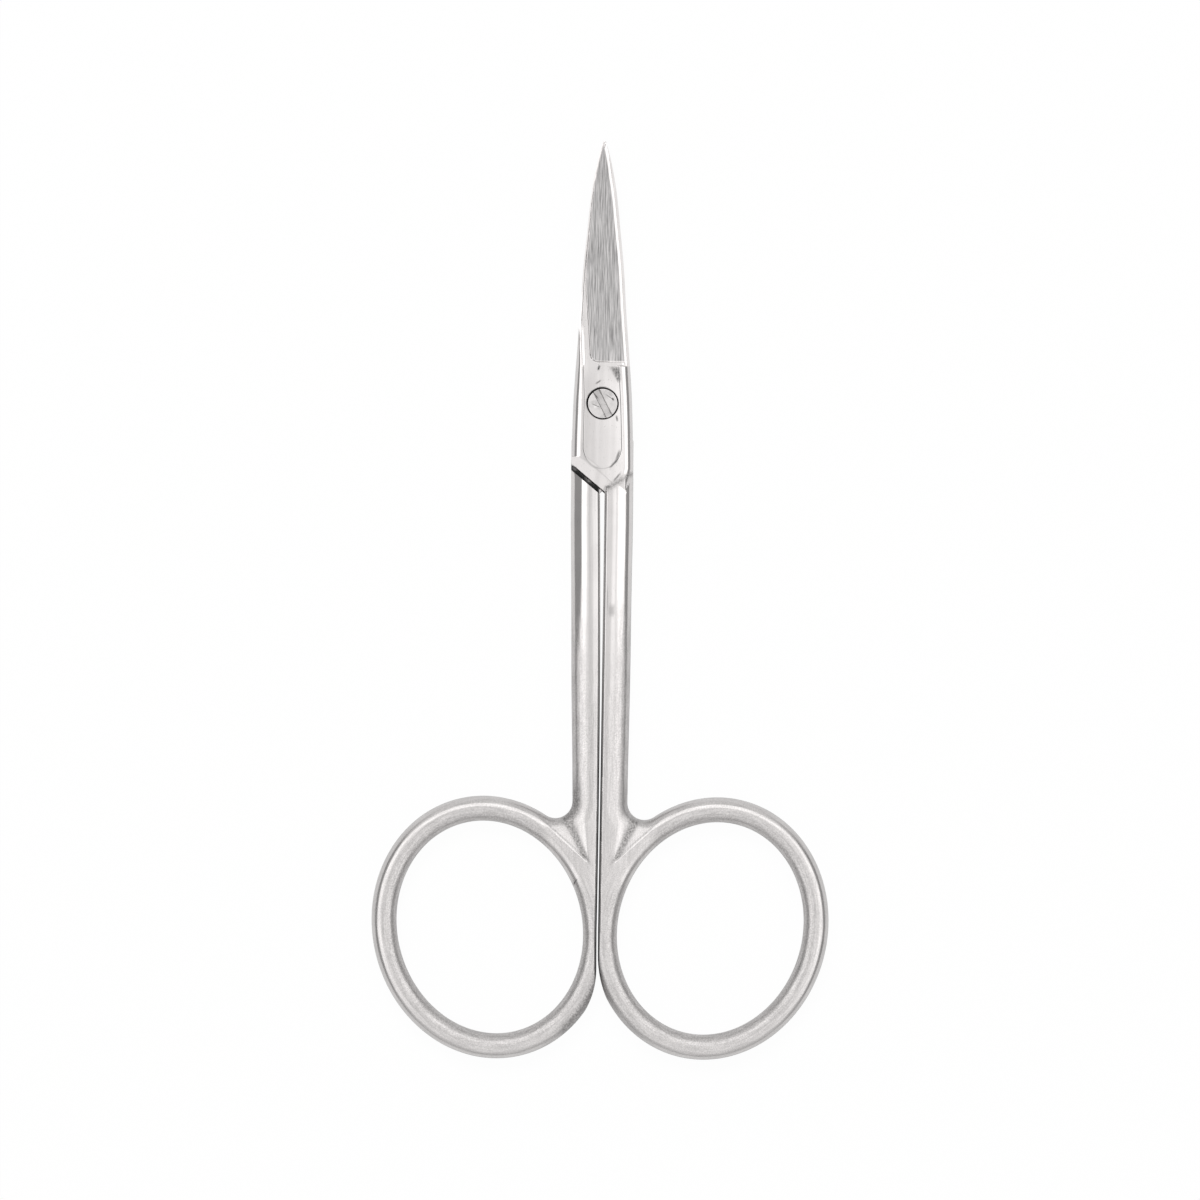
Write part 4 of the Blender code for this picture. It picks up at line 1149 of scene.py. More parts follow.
def room_features():
    """Rows close beside the wall that makes room for the other half's nose."""
    return [nose_row(1, -1.2, 0.3, 0.1, NOSE_DRAFT + NOSE_GAP + out) for out in ROOM_ROWS]


def fix_steep(points, triangles, corner_normals):
    """Where a triangle stands far off its corners' normals it is a step's wall, and shades flat."""
    a, b, c = (points[triangles[:, i]] for i in range(3))
    face = np.cross(b - a, c - a)
    face /= np.maximum(np.linalg.norm(face, axis=1, keepdims=True), 1e-12)
    lean = np.einsum("tk,tck->tc", face, corner_normals)
    steep = lean < STEEP
    corner_normals[steep] = np.repeat(face[:, None, :], 3, axis=1)[steep]
    return corner_normals


def grain_place(points, forging):
    """Where each point lies along and across the direction it was polished in."""
    x, y = points.T
    depth, turn = hole_depth(x, y, forging["ring_offset"])
    on_stock = (depth < STOCK_WIDTH + CLOSE) & ((y < RING_GRAIN_BELOW) | (x > RING_GRAIN_BESIDE))
    across = np.where(on_stock, depth, x)
    along = np.where(on_stock, turn * (HOLE_LENGTH + HOLE_WIDTH) / 4, y)
    return np.stack((across, along, np.zeros_like(x)), axis=1)


def bump_at(at, place, width, power=2):
    """1 at a place, falling off to both sides of it."""
    return np.exp(-((at - place) / width) ** power)


def dark_marks(x, y, marks):
    """Where small dark marks lie, from a list of their places, sizes, leans and strengths."""
    total = np.zeros_like(x)
    for mark_x, mark_y, across, along, lean, strength in marks:
        turn = math.radians(lean)
        u = (x - mark_x) * math.cos(turn) + (y - mark_y) * math.sin(turn)
        v = (y - mark_y) * math.cos(turn) - (x - mark_x) * math.sin(turn)
        total += strength * np.exp(-(u / across) ** 4 - (v / along) ** 4)
    return np.clip(total, 0.0, 1.0)


def seam_shade(x, y, z, forging):
    """Painted shade at the rim of the seam and a little way round the ring, on each side down to its foot."""
    from_seam = x - seam_at(y, forging["seam"])
    into_ring = STOCK_WIDTH - hole_depth(x, y, forging["ring_offset"])[0]
    on_ring_side = (into_ring < from_seam) & (y < -RING_DISTANCE) & (x < RING_SHADE_SIDE)
    gap = np.where(on_ring_side, into_ring, from_seam)
    strength = SEAM_SHADE_LEAST + (1 - SEAM_SHADE_LEAST) * ease(*SEAM_SHADE_GROWS, -y)
    foot = np.where(on_ring_side, RING_SHADE_FOOT, SEAM_SHADE_FOOT)
    dirt_and_shade = (1 - ease(*SEAM_SHADE_WIDTH, gap)) * strength * on_seam(y)
    dirt_and_shade = dirt_and_shade * ease(foot, foot + SHADE_FOOT_BLEND, np.abs(z)) * (1 - RING_SHADE_LOSS * on_ring_side)
    end = -forging["seam_shade_end"]
    return dirt_and_shade * ease(end - SEAM_SHADE_RUN_OUT, end, y)


def painted_shade_and_marks_mask(x, y, z, forging):
    """Painted shade in the joint's gaps, along the seam, in the pocket's crease, round the panel and at the
    screw's rim; and small dark marks.
    """
    from_screw = np.hypot(x, y)
    from_seam = x - seam_at(y, forging["seam"])
    # Painted shade down in the screw's recess
    in_bore = (z > LAP_GAP_HALF + CLOSE) & (z < LAP_HALF - BORE_SHADE_DROP)
    in_bore &= from_screw < RECESS_RADIUS + CLOSE
    # Painted shade on the nose's wall, darker further down
    near_nose = (y < -NOSE_CORNER + NOSE_SHADE_REACH) & (y > -NOSE_LENGTH - NOSE_SHADE_REACH)
    near_nose &= (nose_out(x, y, -1) > CLOSE) & (from_seam < CLOSE)
    nose = NOSE_SHADE * ease(*NOSE_SHADE_LEVELS, z) * near_nose
    # Painted shade on the floor of the groove that makes room for the other half's nose
    floor = ease(*FLOOR_SHADE_WIDTH, room_out(x, y)) * ease(*FLOOR_SHADE_FROM_SEAM, from_seam)
    floor = floor * (z < LAP_GAP_HALF + CLOSE / 2) * (z > 0.0)
    from_ring, from_shank = pocket_sides(x, y, forging)
    # A painted shadow line along the foot of the pocket's lip
    crease = CREASE_SHADE * bump_at(from_ring, LIP_WIDTH, CREASE_WIDTH)
    crease = crease * ease(*CREASE_BEGINS, from_shank) * ease(*CREASE_ENDS, x)
    spots = dark_marks(x, y, forging["marks"]) * (np.abs(z) > LAP_GAP_HALF)
    into_panel, across = panel_depth(x, y)
    # A painted shade line round the panel's border, stronger towards its left side
    border = PANEL_SHADE * bump_at(into_panel, PANEL_SHADE_PLACE, PANEL_SHADE_WIDTH)
    border = border * (z > LAP_HALF - PANEL_LAYER)
    border = border * ease(*PANEL_SHADE_BEGINS, -y) * ease(*PANEL_SHADE_SIDE, across)
    # Painted shade at the upper left of the screw's rim
    upper_left = (y - x) / np.maximum(from_screw, 0.1) / math.sqrt(2.0)
    crescent = ease(RIM_SHADE_REACH, FRONT_BORE[0][0], from_screw) * ease(*RIM_SHADE_TURN, upper_left)
    crescent = crescent * (z > LAP_HALF - RIM_LAYER) * forging["rim_shade"]
    parts = (in_bore * 1.0, nose, floor, seam_shade(x, y, z, forging), crease, spots, border, crescent)
    return np.clip(np.maximum.reduce(parts), 0.0, 1.0)


def rough_mask(x, y, forging, distance, outer_side):
    """Where the skin is rough: the pocket's valley, the scuffed shank, the nose's facet and the heel."""
    from_ring, from_shank = pocket_sides(x, y, forging)
    from_crotch = np.hypot(x - forging["crotch"][0], y - forging["crotch"][1]) - CROTCH_RADIUS
    spread = VALLEY_FOOT_WIDTH + VALLEY_SPREAD * np.maximum(from_ring, 0.0)
    valley = bump_at(from_ring, from_shank, spread, 4)
    valley = valley * ease(*VALLEY_FROM_CROTCH, from_crotch) * ease(*VALLEY_FROM_RING, from_ring)
    facet = bump_at(nose_out(x, y, 1), FACET_PLACE, FACET_WIDTH) * (x > FACET_SIDE)
    facet = facet * ease(*FACET_LOW_END, y) * (1 - ease(*FACET_HIGH_END, y))
    below = LEDGE - HEEL_TOP - y
    heel_width = np.maximum(HEEL_HALF_WIDTH - HEEL_NARROWS * below, HEEL_LEAST_WIDTH)
    heel = bump_at(x, HEEL_PLACE + HEEL_LEAN * below, heel_width, 4)
    heel = heel * ease(*HEEL_BEGINS, below) * ease(*HEEL_ENDS, below)
    scuffed = forging["scuffed"] * ease(*SCUFFS_BEGIN, -y)
    scuffed = scuffed * ease(*SCUFFS_DEPTH, distance) * ease(*SCUFFS_END, x)
    return np.clip(valley + scuffed + (facet * FACET_ROUGHNESS + heel) * outer_side, 0.0, 1.0)


def finish_masks(vertices, forging):
    """Masks for the finishes: the ground face, the satin shank and ring, the rough corners, the painted shade
    and dark marks.
    """
    x, y, z = vertices.T
    outer_side = z > LAP_GAP_HALF + CLOSE
    ground = np.clip(-grind_out(x, y) / GROUND_FADE, 0.0, 1.0) * (y > LEDGE + GROUND_START)
    ground = ground * ease(*GROUND_EDGE_FADES, edge_line(y) - x)
    depth, _turn = hole_depth(x, y, forging["ring_offset"])
    distance, _turned = from_outside(x, y, forging, STOCK_WIDTH - depth)
    ring = np.maximum(ease(*SATIN_RING_BELOW, y), ease(*SATIN_RING_BESIDE, x)) * ease(*SATIN_RING_EDGE, depth)
    ring = ring * (1.0 + SATIN_RING_INNER * ease(*SATIN_RING_INNER_DEPTH, depth))
    shank = SATIN_SHANK * ease(*SATIN_SHANK_BEGINS, -y)
    flank = SATIN_FLANK * ease(*SATIN_FLANK_BEGINS, -y) * ease(*SATIN_FLANK_DEPTH, distance)
    flank = flank * ease(*SATIN_FLANK_ENDS, x)
    rough = rough_mask(x, y, forging, distance, outer_side) * (np.abs(z) > CLOSE)
    return {
        "ground": ground * outer_side,
        "satin": np.maximum.reduce((ring, shank, flank)),
        "rough": rough,
        "painted_shade_and_marks": painted_shade_and_marks_mask(x, y, z, forging),
    }


def make_face(height, forging, loops, free, side, flags):
    """One face: its points with their heights, its triangles, and normals that point out on its side."""
    points, faces = triangulate(loops, free)
    away = np.concatenate((inward(loops[0]), inward(loops[1])))
    count = len(away)
    shift = np.zeros((len(points), 2))
    shift[:count] = away * EDGE_LOOK_IN
    z = height(*(points + shift * EDGE_HEIGHT_SHARE).T, forging)
    normals = side * gradient_normals(height, forging, points, shift)
    outward = np.concatenate((-away, np.zeros((count, 1))), axis=1)
    z[:count][flags] = 0.0
    normals[:count][flags] = outward[flags]
    return np.column_stack((points, z)), faces, normals, outward


def make_half(name, forging, turned_over):
    """One forging: its outer face and its lap face over one plan outline, and the walls between."""
    outline, is_round = half_outline(forging)
    turn = np.linspace(0.0, math.tau, HOLE_POINTS + 1)[:-1][::-1]
    hole = on_ring(turn, 0.0, forging["ring_offset"])
    all_round = np.full(len(hole), True)
    flags = np.concatenate((is_round, all_round))
    edge_count = len(flags)
    bore = forging["bore"]
    rim, neck = bore[0][0], bore[-1][0]
    pocket_rows = pocket_features(forging)

    loops = [outline, hole, circle(rim)]
    walled = [(outline, outline[:, 1] < BLADE_START), (hole, all_round)]
    free = plan_points(loops, walled, [blade_rows()] + lap_features() + pocket_rows, TOP_ZONES)
    free = free[np.hypot(*free.T) > rim + TOP_BORE_CLEARANCE]
    top, top_faces, top_normals, outward = make_face(outer_face, forging, loops, free, 1.0, flags)

    loops = [outline, hole, circle(neck)]
    walled = [(outline, outline[:, 1] < -NOSE_CORNER - 0.8), (hole, all_round)]
    free = plan_points(loops, walled, room_features() + pocket_rows, LOW_ZONES)
    free = free[np.hypot(*free.T) > neck + LOW_BORE_CLEARANCE]
    low, low_faces, low_normals, _outward = make_face(inner_face, forging, loops, free, -1.0, flags)

    # Where the two faces meet at the edge they share their points
    vertices = np.concatenate((top, low))
    merged = flags | (np.abs(top[:edge_count, 2] - low[:edge_count, 2]) < THINNEST)
    low_index = np.arange(len(low)) + len(top)
    low_index[:edge_count][merged] = np.arange(edge_count)[merged]
    low_faces = low_faces[:, ::-1]
    low_triangles = low_index[low_faces]
    triangles = [top_faces, low_triangles]
    corners = [
        fix_steep(vertices, top_faces, top_normals[top_faces]),
        fix_steep(vertices, low_triangles, low_normals[low_faces]),
    ]
    columns, shelf = wall_columns(outline, vertices[:, 2], low_index, len(vertices), forging["seam"])
    vertices = np.concatenate((vertices, shelf))
    for i in range(len(outline)):
        j = (i + 1) % len(outline)
        for wall in zipped(columns[i], columns[j]):
            triangles.append(np.array([wall]))
            corners.append(np.array([[outward[i if k in columns[i] else j] for k in wall]]))
    low_ring = low_index[edge_count:edge_count + BORE_POINTS]
    strip_vertices, strip_triangles, strip_corners = bore_strips(bore, vertices, edge_count, low_ring)
    vertices = np.concatenate((vertices, strip_vertices))
    triangles = np.concatenate(triangles + [strip_triangles])
    corners = np.concatenate(corners + [strip_corners])
    grain = grain_place(vertices[:, :2], forging)
    masks = finish_masks(vertices, forging)
    flip = np.array((-1.0, 1.0, -1.0)) if turned_over else np.ones(3)
    vertices = vertices * flip + np.array((0.0, 0.0, LAP_HALF))
    return solid(name, vertices, triangles, corners * flip, grain, masks)


def wall_columns(outline, heights, low_index, first, seam):
    """Down the outline's wall at each of its points; where the seam's painted shade ends, two more points
    each.
    """
    columns = []
    shelf = []
    beside = np.abs(outline[:, 0] - seam_at(outline[:, 1], seam)) < CLOSE / 2
    past = (outline[:, 1] < -RING_DISTANCE) & (outline[:, 0] < RING_SHADE_SIDE) & ~beside
    for i, (x, y) in enumerate(outline):
        going_down = [i]
        has_wall = low_index[i] != i
        if has_wall and on_seam(y) and (beside[i] or past[i]):
            ring_foot = min(RING_SHADE_FOOT, RING_SHADE_FOOT_SHARE * heights[i])
            foot = ring_foot if past[i] else SEAM_SHADE_FOOT
            for level in (foot, -foot):
                going_down.append(first + len(shelf))
                shelf.append((x, y, level))
        if has_wall:
            going_down.append(int(low_index[i]))
        columns.append(going_down)
    return columns, np.array(shelf)


def zipped(left, right):
    """Triangles between two columns of points that run the same way."""
    faces = []
    i = j = 0
    while i < len(left) - 1 or j < len(right) - 1:
        left_share = (i + 1) / (len(left) - 1) if i < len(left) - 1 else math.inf
        right_share = (j + 1) / (len(right) - 1) if j < len(right) - 1 else math.inf
        if left_share <= right_share:
            faces.append((left[i], left[i + 1], right[j]))
            i += 1
        else:
            faces.append((left[i], right[j + 1], right[j]))
            j += 1
    return faces


def bore_strips(steps, vertices, top_start, low_ring):
    """The screw hole's rim, seat and neck, between the outer face and the lap face."""
    rings = [np.arange(top_start, top_start + BORE_POINTS)]
    added = []
    count = len(vertices)
    for radius, height in steps[1:-1]:
        added.append(np.column_stack((circle(radius), np.full(BORE_POINTS, height))))
        rings.append(np.arange(count, count + BORE_POINTS))
        count += BORE_POINTS
    rings.append(low_ring)
    triangles = []
    corners = []
    i = np.arange(BORE_POINTS)
    j = (i + 1) % BORE_POINTS
    for (r0, z0), (r1, z1), upper, lower in zip(steps, steps[1:], rings, rings[1:]):
        size = math.hypot(r1 - r0, z1 - z0)
        normal = np.column_stack((circle((z1 - z0) / size), np.full(BORE_POINTS, -(r1 - r0) / size)))
        triangles.append(np.column_stack((upper[i], upper[j], lower[j])))
        corners.append(np.stack((normal[i], normal[j], normal[j]), axis=1))
        triangles.append(np.column_stack((upper[i], lower[j], lower[i])))
        corners.append(np.stack((normal[i], normal[j], normal[i]), axis=1))
    return np.concatenate(added).reshape(-1, 3), np.concatenate(triangles), np.concatenate(corners)


def solid(name, vertices, triangles, corners, grain, masks):
    """A mesh object from millimetre arrays, with its own corner normals and its finish attributes."""
    used = np.unique(triangles)
    new_index = np.full(len(vertices), -1)
    new_index[used] = np.arange(len(used))
    mesh = bpy.data.meshes.new(name)
    mesh.from_pydata((vertices[used] * MM).tolist(), [], new_index[triangles].tolist())
    mesh.shade_smooth()
    mesh.normals_split_custom_set(corners.reshape(-1, 3).tolist())
    place = mesh.attributes.new("grain", "FLOAT_VECTOR", "POINT")
    place.data.foreach_set("vector", grain[used].ravel())
    for mask, values in masks.items():
        layer = mesh.attributes.new(mask, "FLOAT", "POINT")
        layer.data.foreach_set("value", np.asarray(values)[used].astype(float))
    item = bpy.data.objects.new(name, mesh)
    bpy.context.scene.collection.objects.link(item)
    return item


def node_group(name, kind, inputs, outputs):
    """A new group with its named sockets, and its two end nodes."""
    tree = bpy.data.node_groups.new(name, kind)
    for label, socket in inputs:
        tree.interface.new_socket(label, in_out="INPUT", socket_type=socket)
    for label, socket in outputs:
        tree.interface.new_socket(label, in_out="OUTPUT", socket_type=socket)
    return tree, tree.nodes.new("NodeGroupInput"), tree.nodes.new("NodeGroupOutput")


def add(tree, kind, settings=None, **inputs):
    """A node with its settings and inputs; an input is a value or a socket to link from."""
    node = tree.nodes.new(kind)
    for key, value in (settings or {}).items():
        setattr(node, key, value)
    for key, value in inputs.items():
        socket = node.inputs[int(key[2:])] if key.startswith("at") else node.inputs[key.replace("_", " ")]
        if isinstance(value, bpy.types.NodeSocket):
            tree.links.new(value, socket)
        else:
            socket.default_value = value
    return node


def maths(tree, operation, a, b=0.0, c=0.0, clamp=False):
    settings = {"operation": operation, "use_clamp": clamp}
    return add(tree, "ShaderNodeMath", settings, at0=a, at1=b, at2=c).outputs[0]


def ramp(tree, value, low, high, to_low=0.0, to_high=1.0):
    """The smooth change that ease() makes, as a node."""
    node = add(tree, "ShaderNodeMapRange", {"interpolation_type": "SMOOTHSTEP"}, Value=value)
    for label, number in (("From Min", low), ("From Max", high), ("To Min", to_low), ("To Max", to_high)):
        node.inputs[label].default_value = number
    return node.outputs["Result"]


def blend_value(tree, share, a, b):
    return add(tree, "ShaderNodeMix", {"data_type": "FLOAT"}, at0=share, at2=a, at3=b).outputs[0]


def blend_colour(tree, share, a, b):
    return add(tree, "ShaderNodeMix", {"data_type": "RGBA"}, at0=share, at6=a, at7=b).outputs[2]


def noise(tree, place, scale, detail, **others):
    node = add(tree, "ShaderNodeTexNoise", None, Vector=place, Scale=scale, Detail=detail, **others)
    return node.outputs[0]


def placed_group(tree, group, place, values):
    """A node group that reads a place, with its own values; it gives the group's outputs."""
    node = add(tree, "ShaderNodeGroup", {"node_tree": group}, Place=place)
    for label, value in values.items():
        node.inputs[label].default_value = value
    return node.outputs


def new_material(name):
    """A material, its tree and its shader."""
    material = bpy.data.materials.new(name)
    material.use_nodes = True
    return material, material.node_tree, material.node_tree.nodes["Principled BSDF"]


def lengthwise_grain():
    """Streaks that run the way the steel was polished or ground."""
    inputs = (
        ("Place", "NodeSocketVector"), ("Lines Per Millimetre", "NodeSocketFloat"),
        ("Stretch", "NodeSocketFloat"),
    )
    outputs = (("Streaks", "NodeSocketFloat"),)
    tree, start, end = node_group("lengthwise_grain", "ShaderNodeTree", inputs, outputs)
    lines = start.outputs["Lines Per Millimetre"]
    drawn = maths(tree, "DIVIDE", lines, start.outputs["Stretch"])
    scale = add(tree, "ShaderNodeCombineXYZ", None, X=lines, Y=drawn, Z=1.0).outputs[0]
    multiply = {"operation": "MULTIPLY"}
    place = add(tree, "ShaderNodeVectorMath", multiply, at0=start.outputs["Place"], at1=scale).outputs[0]
    fine = noise(tree, place, 1.0, 3.0, Roughness=0.6)
    tree.links.new(ramp(tree, fine, 0.3, 0.7), end.inputs["Streaks"])
    return tree


def handling_marks():
    """Smudges, hairline scratches and tiny pits, at real size, in object coordinates."""
    inputs = (
        ("Place", "NodeSocketVector"), ("Smudge Size", "NodeSocketFloat"), ("Pit Size", "NodeSocketFloat"),
    )
    outputs = (
        ("Smudges", "NodeSocketFloat"), ("Scratches", "NodeSocketFloat"), ("Pits", "NodeSocketFloat"),
    )
    tree, start, end = node_group("handling_marks", "ShaderNodeTree", inputs, outputs)
    place = start.outputs["Place"]
    smudge_scale = maths(tree, "DIVIDE", 1.0, start.outputs["Smudge Size"])
    pit_scale = maths(tree, "DIVIDE", 1.0, start.outputs["Pit Size"])
    smudges = noise(tree, place, smudge_scale, 4.0)
    tree.links.new(ramp(tree, smudges, 0.35, 0.68), end.inputs["Smudges"])
    masks = []
    for turn, fineness in SCRATCH_SETS:
        scale = (fineness, fineness / SCRATCH_STRETCH, SCRATCH_CHANGE)
        turned = add(tree, "ShaderNodeMapping", None, Vector=place, Rotation=(0.0, 0.0, turn), Scale=scale)
        lines = noise(tree, turned.outputs[0], 1.0, 1.0)
        masks.append(ramp(tree, lines, 0.69, 0.75))
    scratches = maths(tree, "MAXIMUM", maths(tree, "MAXIMUM", masks[0], masks[1]), masks[2])
    tree.links.new(scratches, end.inputs["Scratches"])
    cells = add(tree, "ShaderNodeTexVoronoi", None, Vector=place, Scale=pit_scale).outputs["Distance"]
    tree.links.new(ramp(tree, cells, 0.16, 0.06), end.inputs["Pits"])
    return tree


def steel(name, grain, marks, finish):
    """Bright steel: polished, with a satin ring, a coarsely ground blade face and rough corners."""
    material, tree, shader = new_material(name)
    place = add(tree, "ShaderNodeTexCoord").outputs["Object"]
    direction = add(tree, "ShaderNodeAttribute", {"attribute_name": "grain"}).outputs["Vector"]
    ground, satin, rough, painted_shade_and_marks = (
        add(tree, "ShaderNodeAttribute", {"attribute_name": mask}).outputs["Fac"]
        for mask in ("ground", "satin", "rough", "painted_shade_and_marks")
    )
    fine, coarse, wide = (
        placed_group(tree, grain, direction, {"Lines Per Millimetre": lines, "Stretch": stretch})["Streaks"]
        for lines, stretch in (
            (finish["polish_lines"], POLISH_STRETCH),
            (finish["ground_lines"], GROUND_STRETCH),
            (finish["brushed_lines"], BRUSHED_STRETCH),
        )
    )
    marked = placed_group(tree, marks, place, STEEL_HANDLING)
    crumble = noise(tree, place, CRUMBLE_SCALE, 3.0)

    # Colour: the bright steel, then each finish over the last, then the pits' dirt, and the painted shade and
    # dark marks on top
    colour = blend_colour(tree, marked["Smudges"], finish["bright"], finish["smudged"])
    streaked = blend_colour(tree, coarse, finish["ground_dark"], finish["ground_light"])
    brushed = blend_colour(tree, wide, finish["satin"], finish["satin_light"])
    colour = blend_colour(tree, maths(tree, "MULTIPLY", satin, 0.8, clamp=True), colour, brushed)
    colour = blend_colour(tree, ground, colour, streaked)
    scuffs = noise(tree, place, SCUFF_SCALE, 3.0)
    speckle = ramp(tree, crumble, 0.35, 0.65)
    dulled = maths(tree, "MULTIPLY", speckle, maths(tree, "MULTIPLY", satin, finish["speckle"], clamp=True))
    colour = blend_colour(tree, dulled, colour, finish["rough_dark"])
    pitted = blend_colour(tree, ramp(tree, scuffs, 0.33, 0.67), finish["rough_dark"], finish["rough_light"])
    colour = blend_colour(tree, rough, colour, pitted)
    dirt_and_shade = maths(tree, "MULTIPLY", marked["Pits"], 0.35)
    colour = blend_colour(tree, dirt_and_shade, colour, finish["rough_dark"])
    # Painted shade in the gaps, the seam and the crease, and small dark marks, in the darkest colour
    colour = blend_colour(tree, painted_shade_and_marks, colour, finish["painted_shade_and_marks"])
    tree.links.new(colour, shader.inputs["Base Color"])

    roughness = maths(tree, "MULTIPLY_ADD", marked["Smudges"], 0.04, finish["polished_roughness"])
    roughness = maths(tree, "MULTIPLY_ADD", fine, 0.03, roughness)
    roughness = maths(tree, "MULTIPLY_ADD", satin, finish["satin_roughness"], roughness)
    roughness = blend_value(tree, ground, roughness, GROUND_ROUGHNESS)
    roughness = blend_value(tree, rough, roughness, ROUGH_ROUGHNESS)
    roughness = blend_value(tree, painted_shade_and_marks, roughness, SHADE_AND_MARKS_ROUGHNESS)
    tree.links.new(roughness, shader.inputs["Roughness"])
    shader.inputs["Metallic"].default_value = 1.0

    # Relief, in shares of the finish's own height
    height = maths(tree, "MULTIPLY", fine, maths(tree, "MULTIPLY_ADD", satin, 0.5, 0.35))
    height = blend_value(tree, ground, height, maths(tree, "MULTIPLY", coarse, 2.6))
    height = blend_value(tree, rough, height, maths(tree, "MULTIPLY", crumble, 9.0))
    height = maths(tree, "MULTIPLY_ADD", marked["Scratches"], -0.6, height)
    height = maths(tree, "MULTIPLY_ADD", marked["Pits"], -1.2, height)
    bump = add(tree, "ShaderNodeBump", None, Height=height, Strength=1.0, Distance=finish["relief"])
    tree.links.new(bump.outputs["Normal"], shader.inputs["Normal"])
    return material


def turned_screw_tree():
    """A profile turned about z, with a slot across the head; the sizes are the tree's inputs."""
    inputs = (
        ("Geometry", "NodeSocketGeometry"), ("Profile Points", "NodeSocketInt"),
        ("Turn Steps", "NodeSocketInt"), ("Slot Width", "NodeSocketFloat"),
        ("Slot Floor", "NodeSocketFloat"), ("Slot Turn", "NodeSocketFloat"),
        ("Slot Bank", "NodeSocketFloat"), ("Material", "NodeSocketMaterial"),
    )
    outputs = (("Geometry", "NodeSocketGeometry"),)
    tree, start, end = node_group("turned_screw", "GeometryNodeTree", inputs, outputs)
    sizes = start.outputs
    about_z = {"rotation_type": "Z_AXIS"}

    # A sheet whose columns follow the profile and whose rows go once round
    rows = maths(tree, "ADD", sizes["Turn Steps"], 1.0)
    sheet = add(tree, "GeometryNodeMeshGrid", None, Size_X=1.0, Size_Y=1.0)
    tree.links.new(sizes["Profile Points"], sheet.inputs["Vertices X"])
    tree.links.new(rows, sheet.inputs["Vertices Y"])
    spot = add(tree, "ShaderNodeSeparateXYZ", None, Vector=add(tree, "GeometryNodeInputPosition").outputs[0])
    along = maths(tree, "ADD", spot.outputs["X"], 0.5)
    last = maths(tree, "SUBTRACT", sizes["Profile Points"], 1.0)
    index = maths(tree, "ROUND", maths(tree, "MULTIPLY", along, last))
    sample = add(tree, "GeometryNodeSampleIndex", {"data_type": "FLOAT_VECTOR", "domain": "POINT"})
    tree.links.new(sizes["Geometry"], sample.inputs["Geometry"])
    tree.links.new(add(tree, "GeometryNodeInputPosition").outputs[0], sample.inputs["Value"])
    tree.links.new(index, sample.inputs["Index"])
    angle = maths(tree, "MULTIPLY", maths(tree, "ADD", spot.outputs["Y"], 0.5), math.tau)
    profile_at = sample.outputs["Value"]
    turned = add(tree, "ShaderNodeVectorRotate", about_z, Vector=profile_at, Angle=angle).outputs[0]
    body = add(tree, "GeometryNodeSetPosition", None, Geometry=sheet.outputs["Mesh"], Position=turned)
    welded = add(tree, "GeometryNodeMergeByDistance", None, Geometry=body.outputs[0], Distance=WELD)

    # Everything over the slot's floor and inside its width goes down to the floor
    here = add(tree, "GeometryNodeInputPosition").outputs[0]
    back = maths(tree, "MULTIPLY", sizes["Slot Turn"], -1.0)
    level = add(tree, "ShaderNodeVectorRotate", about_z, Vector=here, Angle=back).outputs[0]
    across = add(tree, "ShaderNodeSeparateXYZ", None, Vector=level).outputs["X"]
    across = maths(tree, "ABSOLUTE", across)
    half = maths(tree, "MULTIPLY", sizes["Slot Width"], 0.5)
    beyond = maths(tree, "DIVIDE", maths(tree, "SUBTRACT", half, across), sizes["Slot Bank"])
    within = maths(tree, "ADD", beyond, 0.5, clamp=True)
    split = add(tree, "ShaderNodeSeparateXYZ", None, Vector=here).outputs
    sunk = maths(tree, "MINIMUM", split["Z"], sizes["Slot Floor"])
    height = blend_value(tree, within, split["Z"], sunk)
    moved = add(tree, "ShaderNodeCombineXYZ", None, X=split["X"], Y=split["Y"], Z=height).outputs[0]
    slotted = add(tree, "GeometryNodeSetPosition", None, Geometry=welded.outputs[0], Position=moved)
    whole = add(tree, "GeometryNodeRealizeInstances", None, Geometry=slotted.outputs[0]).outputs[0]
    dressed = add(tree, "GeometryNodeSetMaterial", None, Geometry=whole, Material=sizes["Material"])
    tree.links.new(dressed.outputs[0], end.inputs["Geometry"])
    return tree


def screw_profile():
    """Radius and height down the screw: head, neck and the end that is ground flush."""
    flat_end = SCREW_HEAD_RADIUS - SCREW_CHAMFER
    corner = SCREW_CHAMFER * SCREW_CORNER_SHARE
    head = [(radius, LAP_HALF) for radius in np.arange(0.0, flat_end, SCREW_HEAD_STEP)]
    rim = [
        (flat_end, LAP_HALF),
        (SCREW_HEAD_RADIUS - corner, LAP_HALF - corner),
        (SCREW_HEAD_RADIUS, LAP_HALF - SCREW_CHAMFER),
    ]
    wall = [(SCREW_HEAD_RADIUS, LAP_HALF - depth) for depth in np.linspace(0.15, SCREW_HEAD_HEIGHT, 6)]
    neck = [(SCREW_NECK_RADIUS, LAP_HALF - SCREW_HEAD_HEIGHT), (SCREW_NECK_RADIUS, -LAP_HALF + SCREW_CHAMFER)]
    end = [(radius, -LAP_HALF) for radius in (SCREW_NECK_RADIUS - SCREW_CHAMFER, 0.6, 0.3, 0.0)]
    return head + rim + wall + neck + end


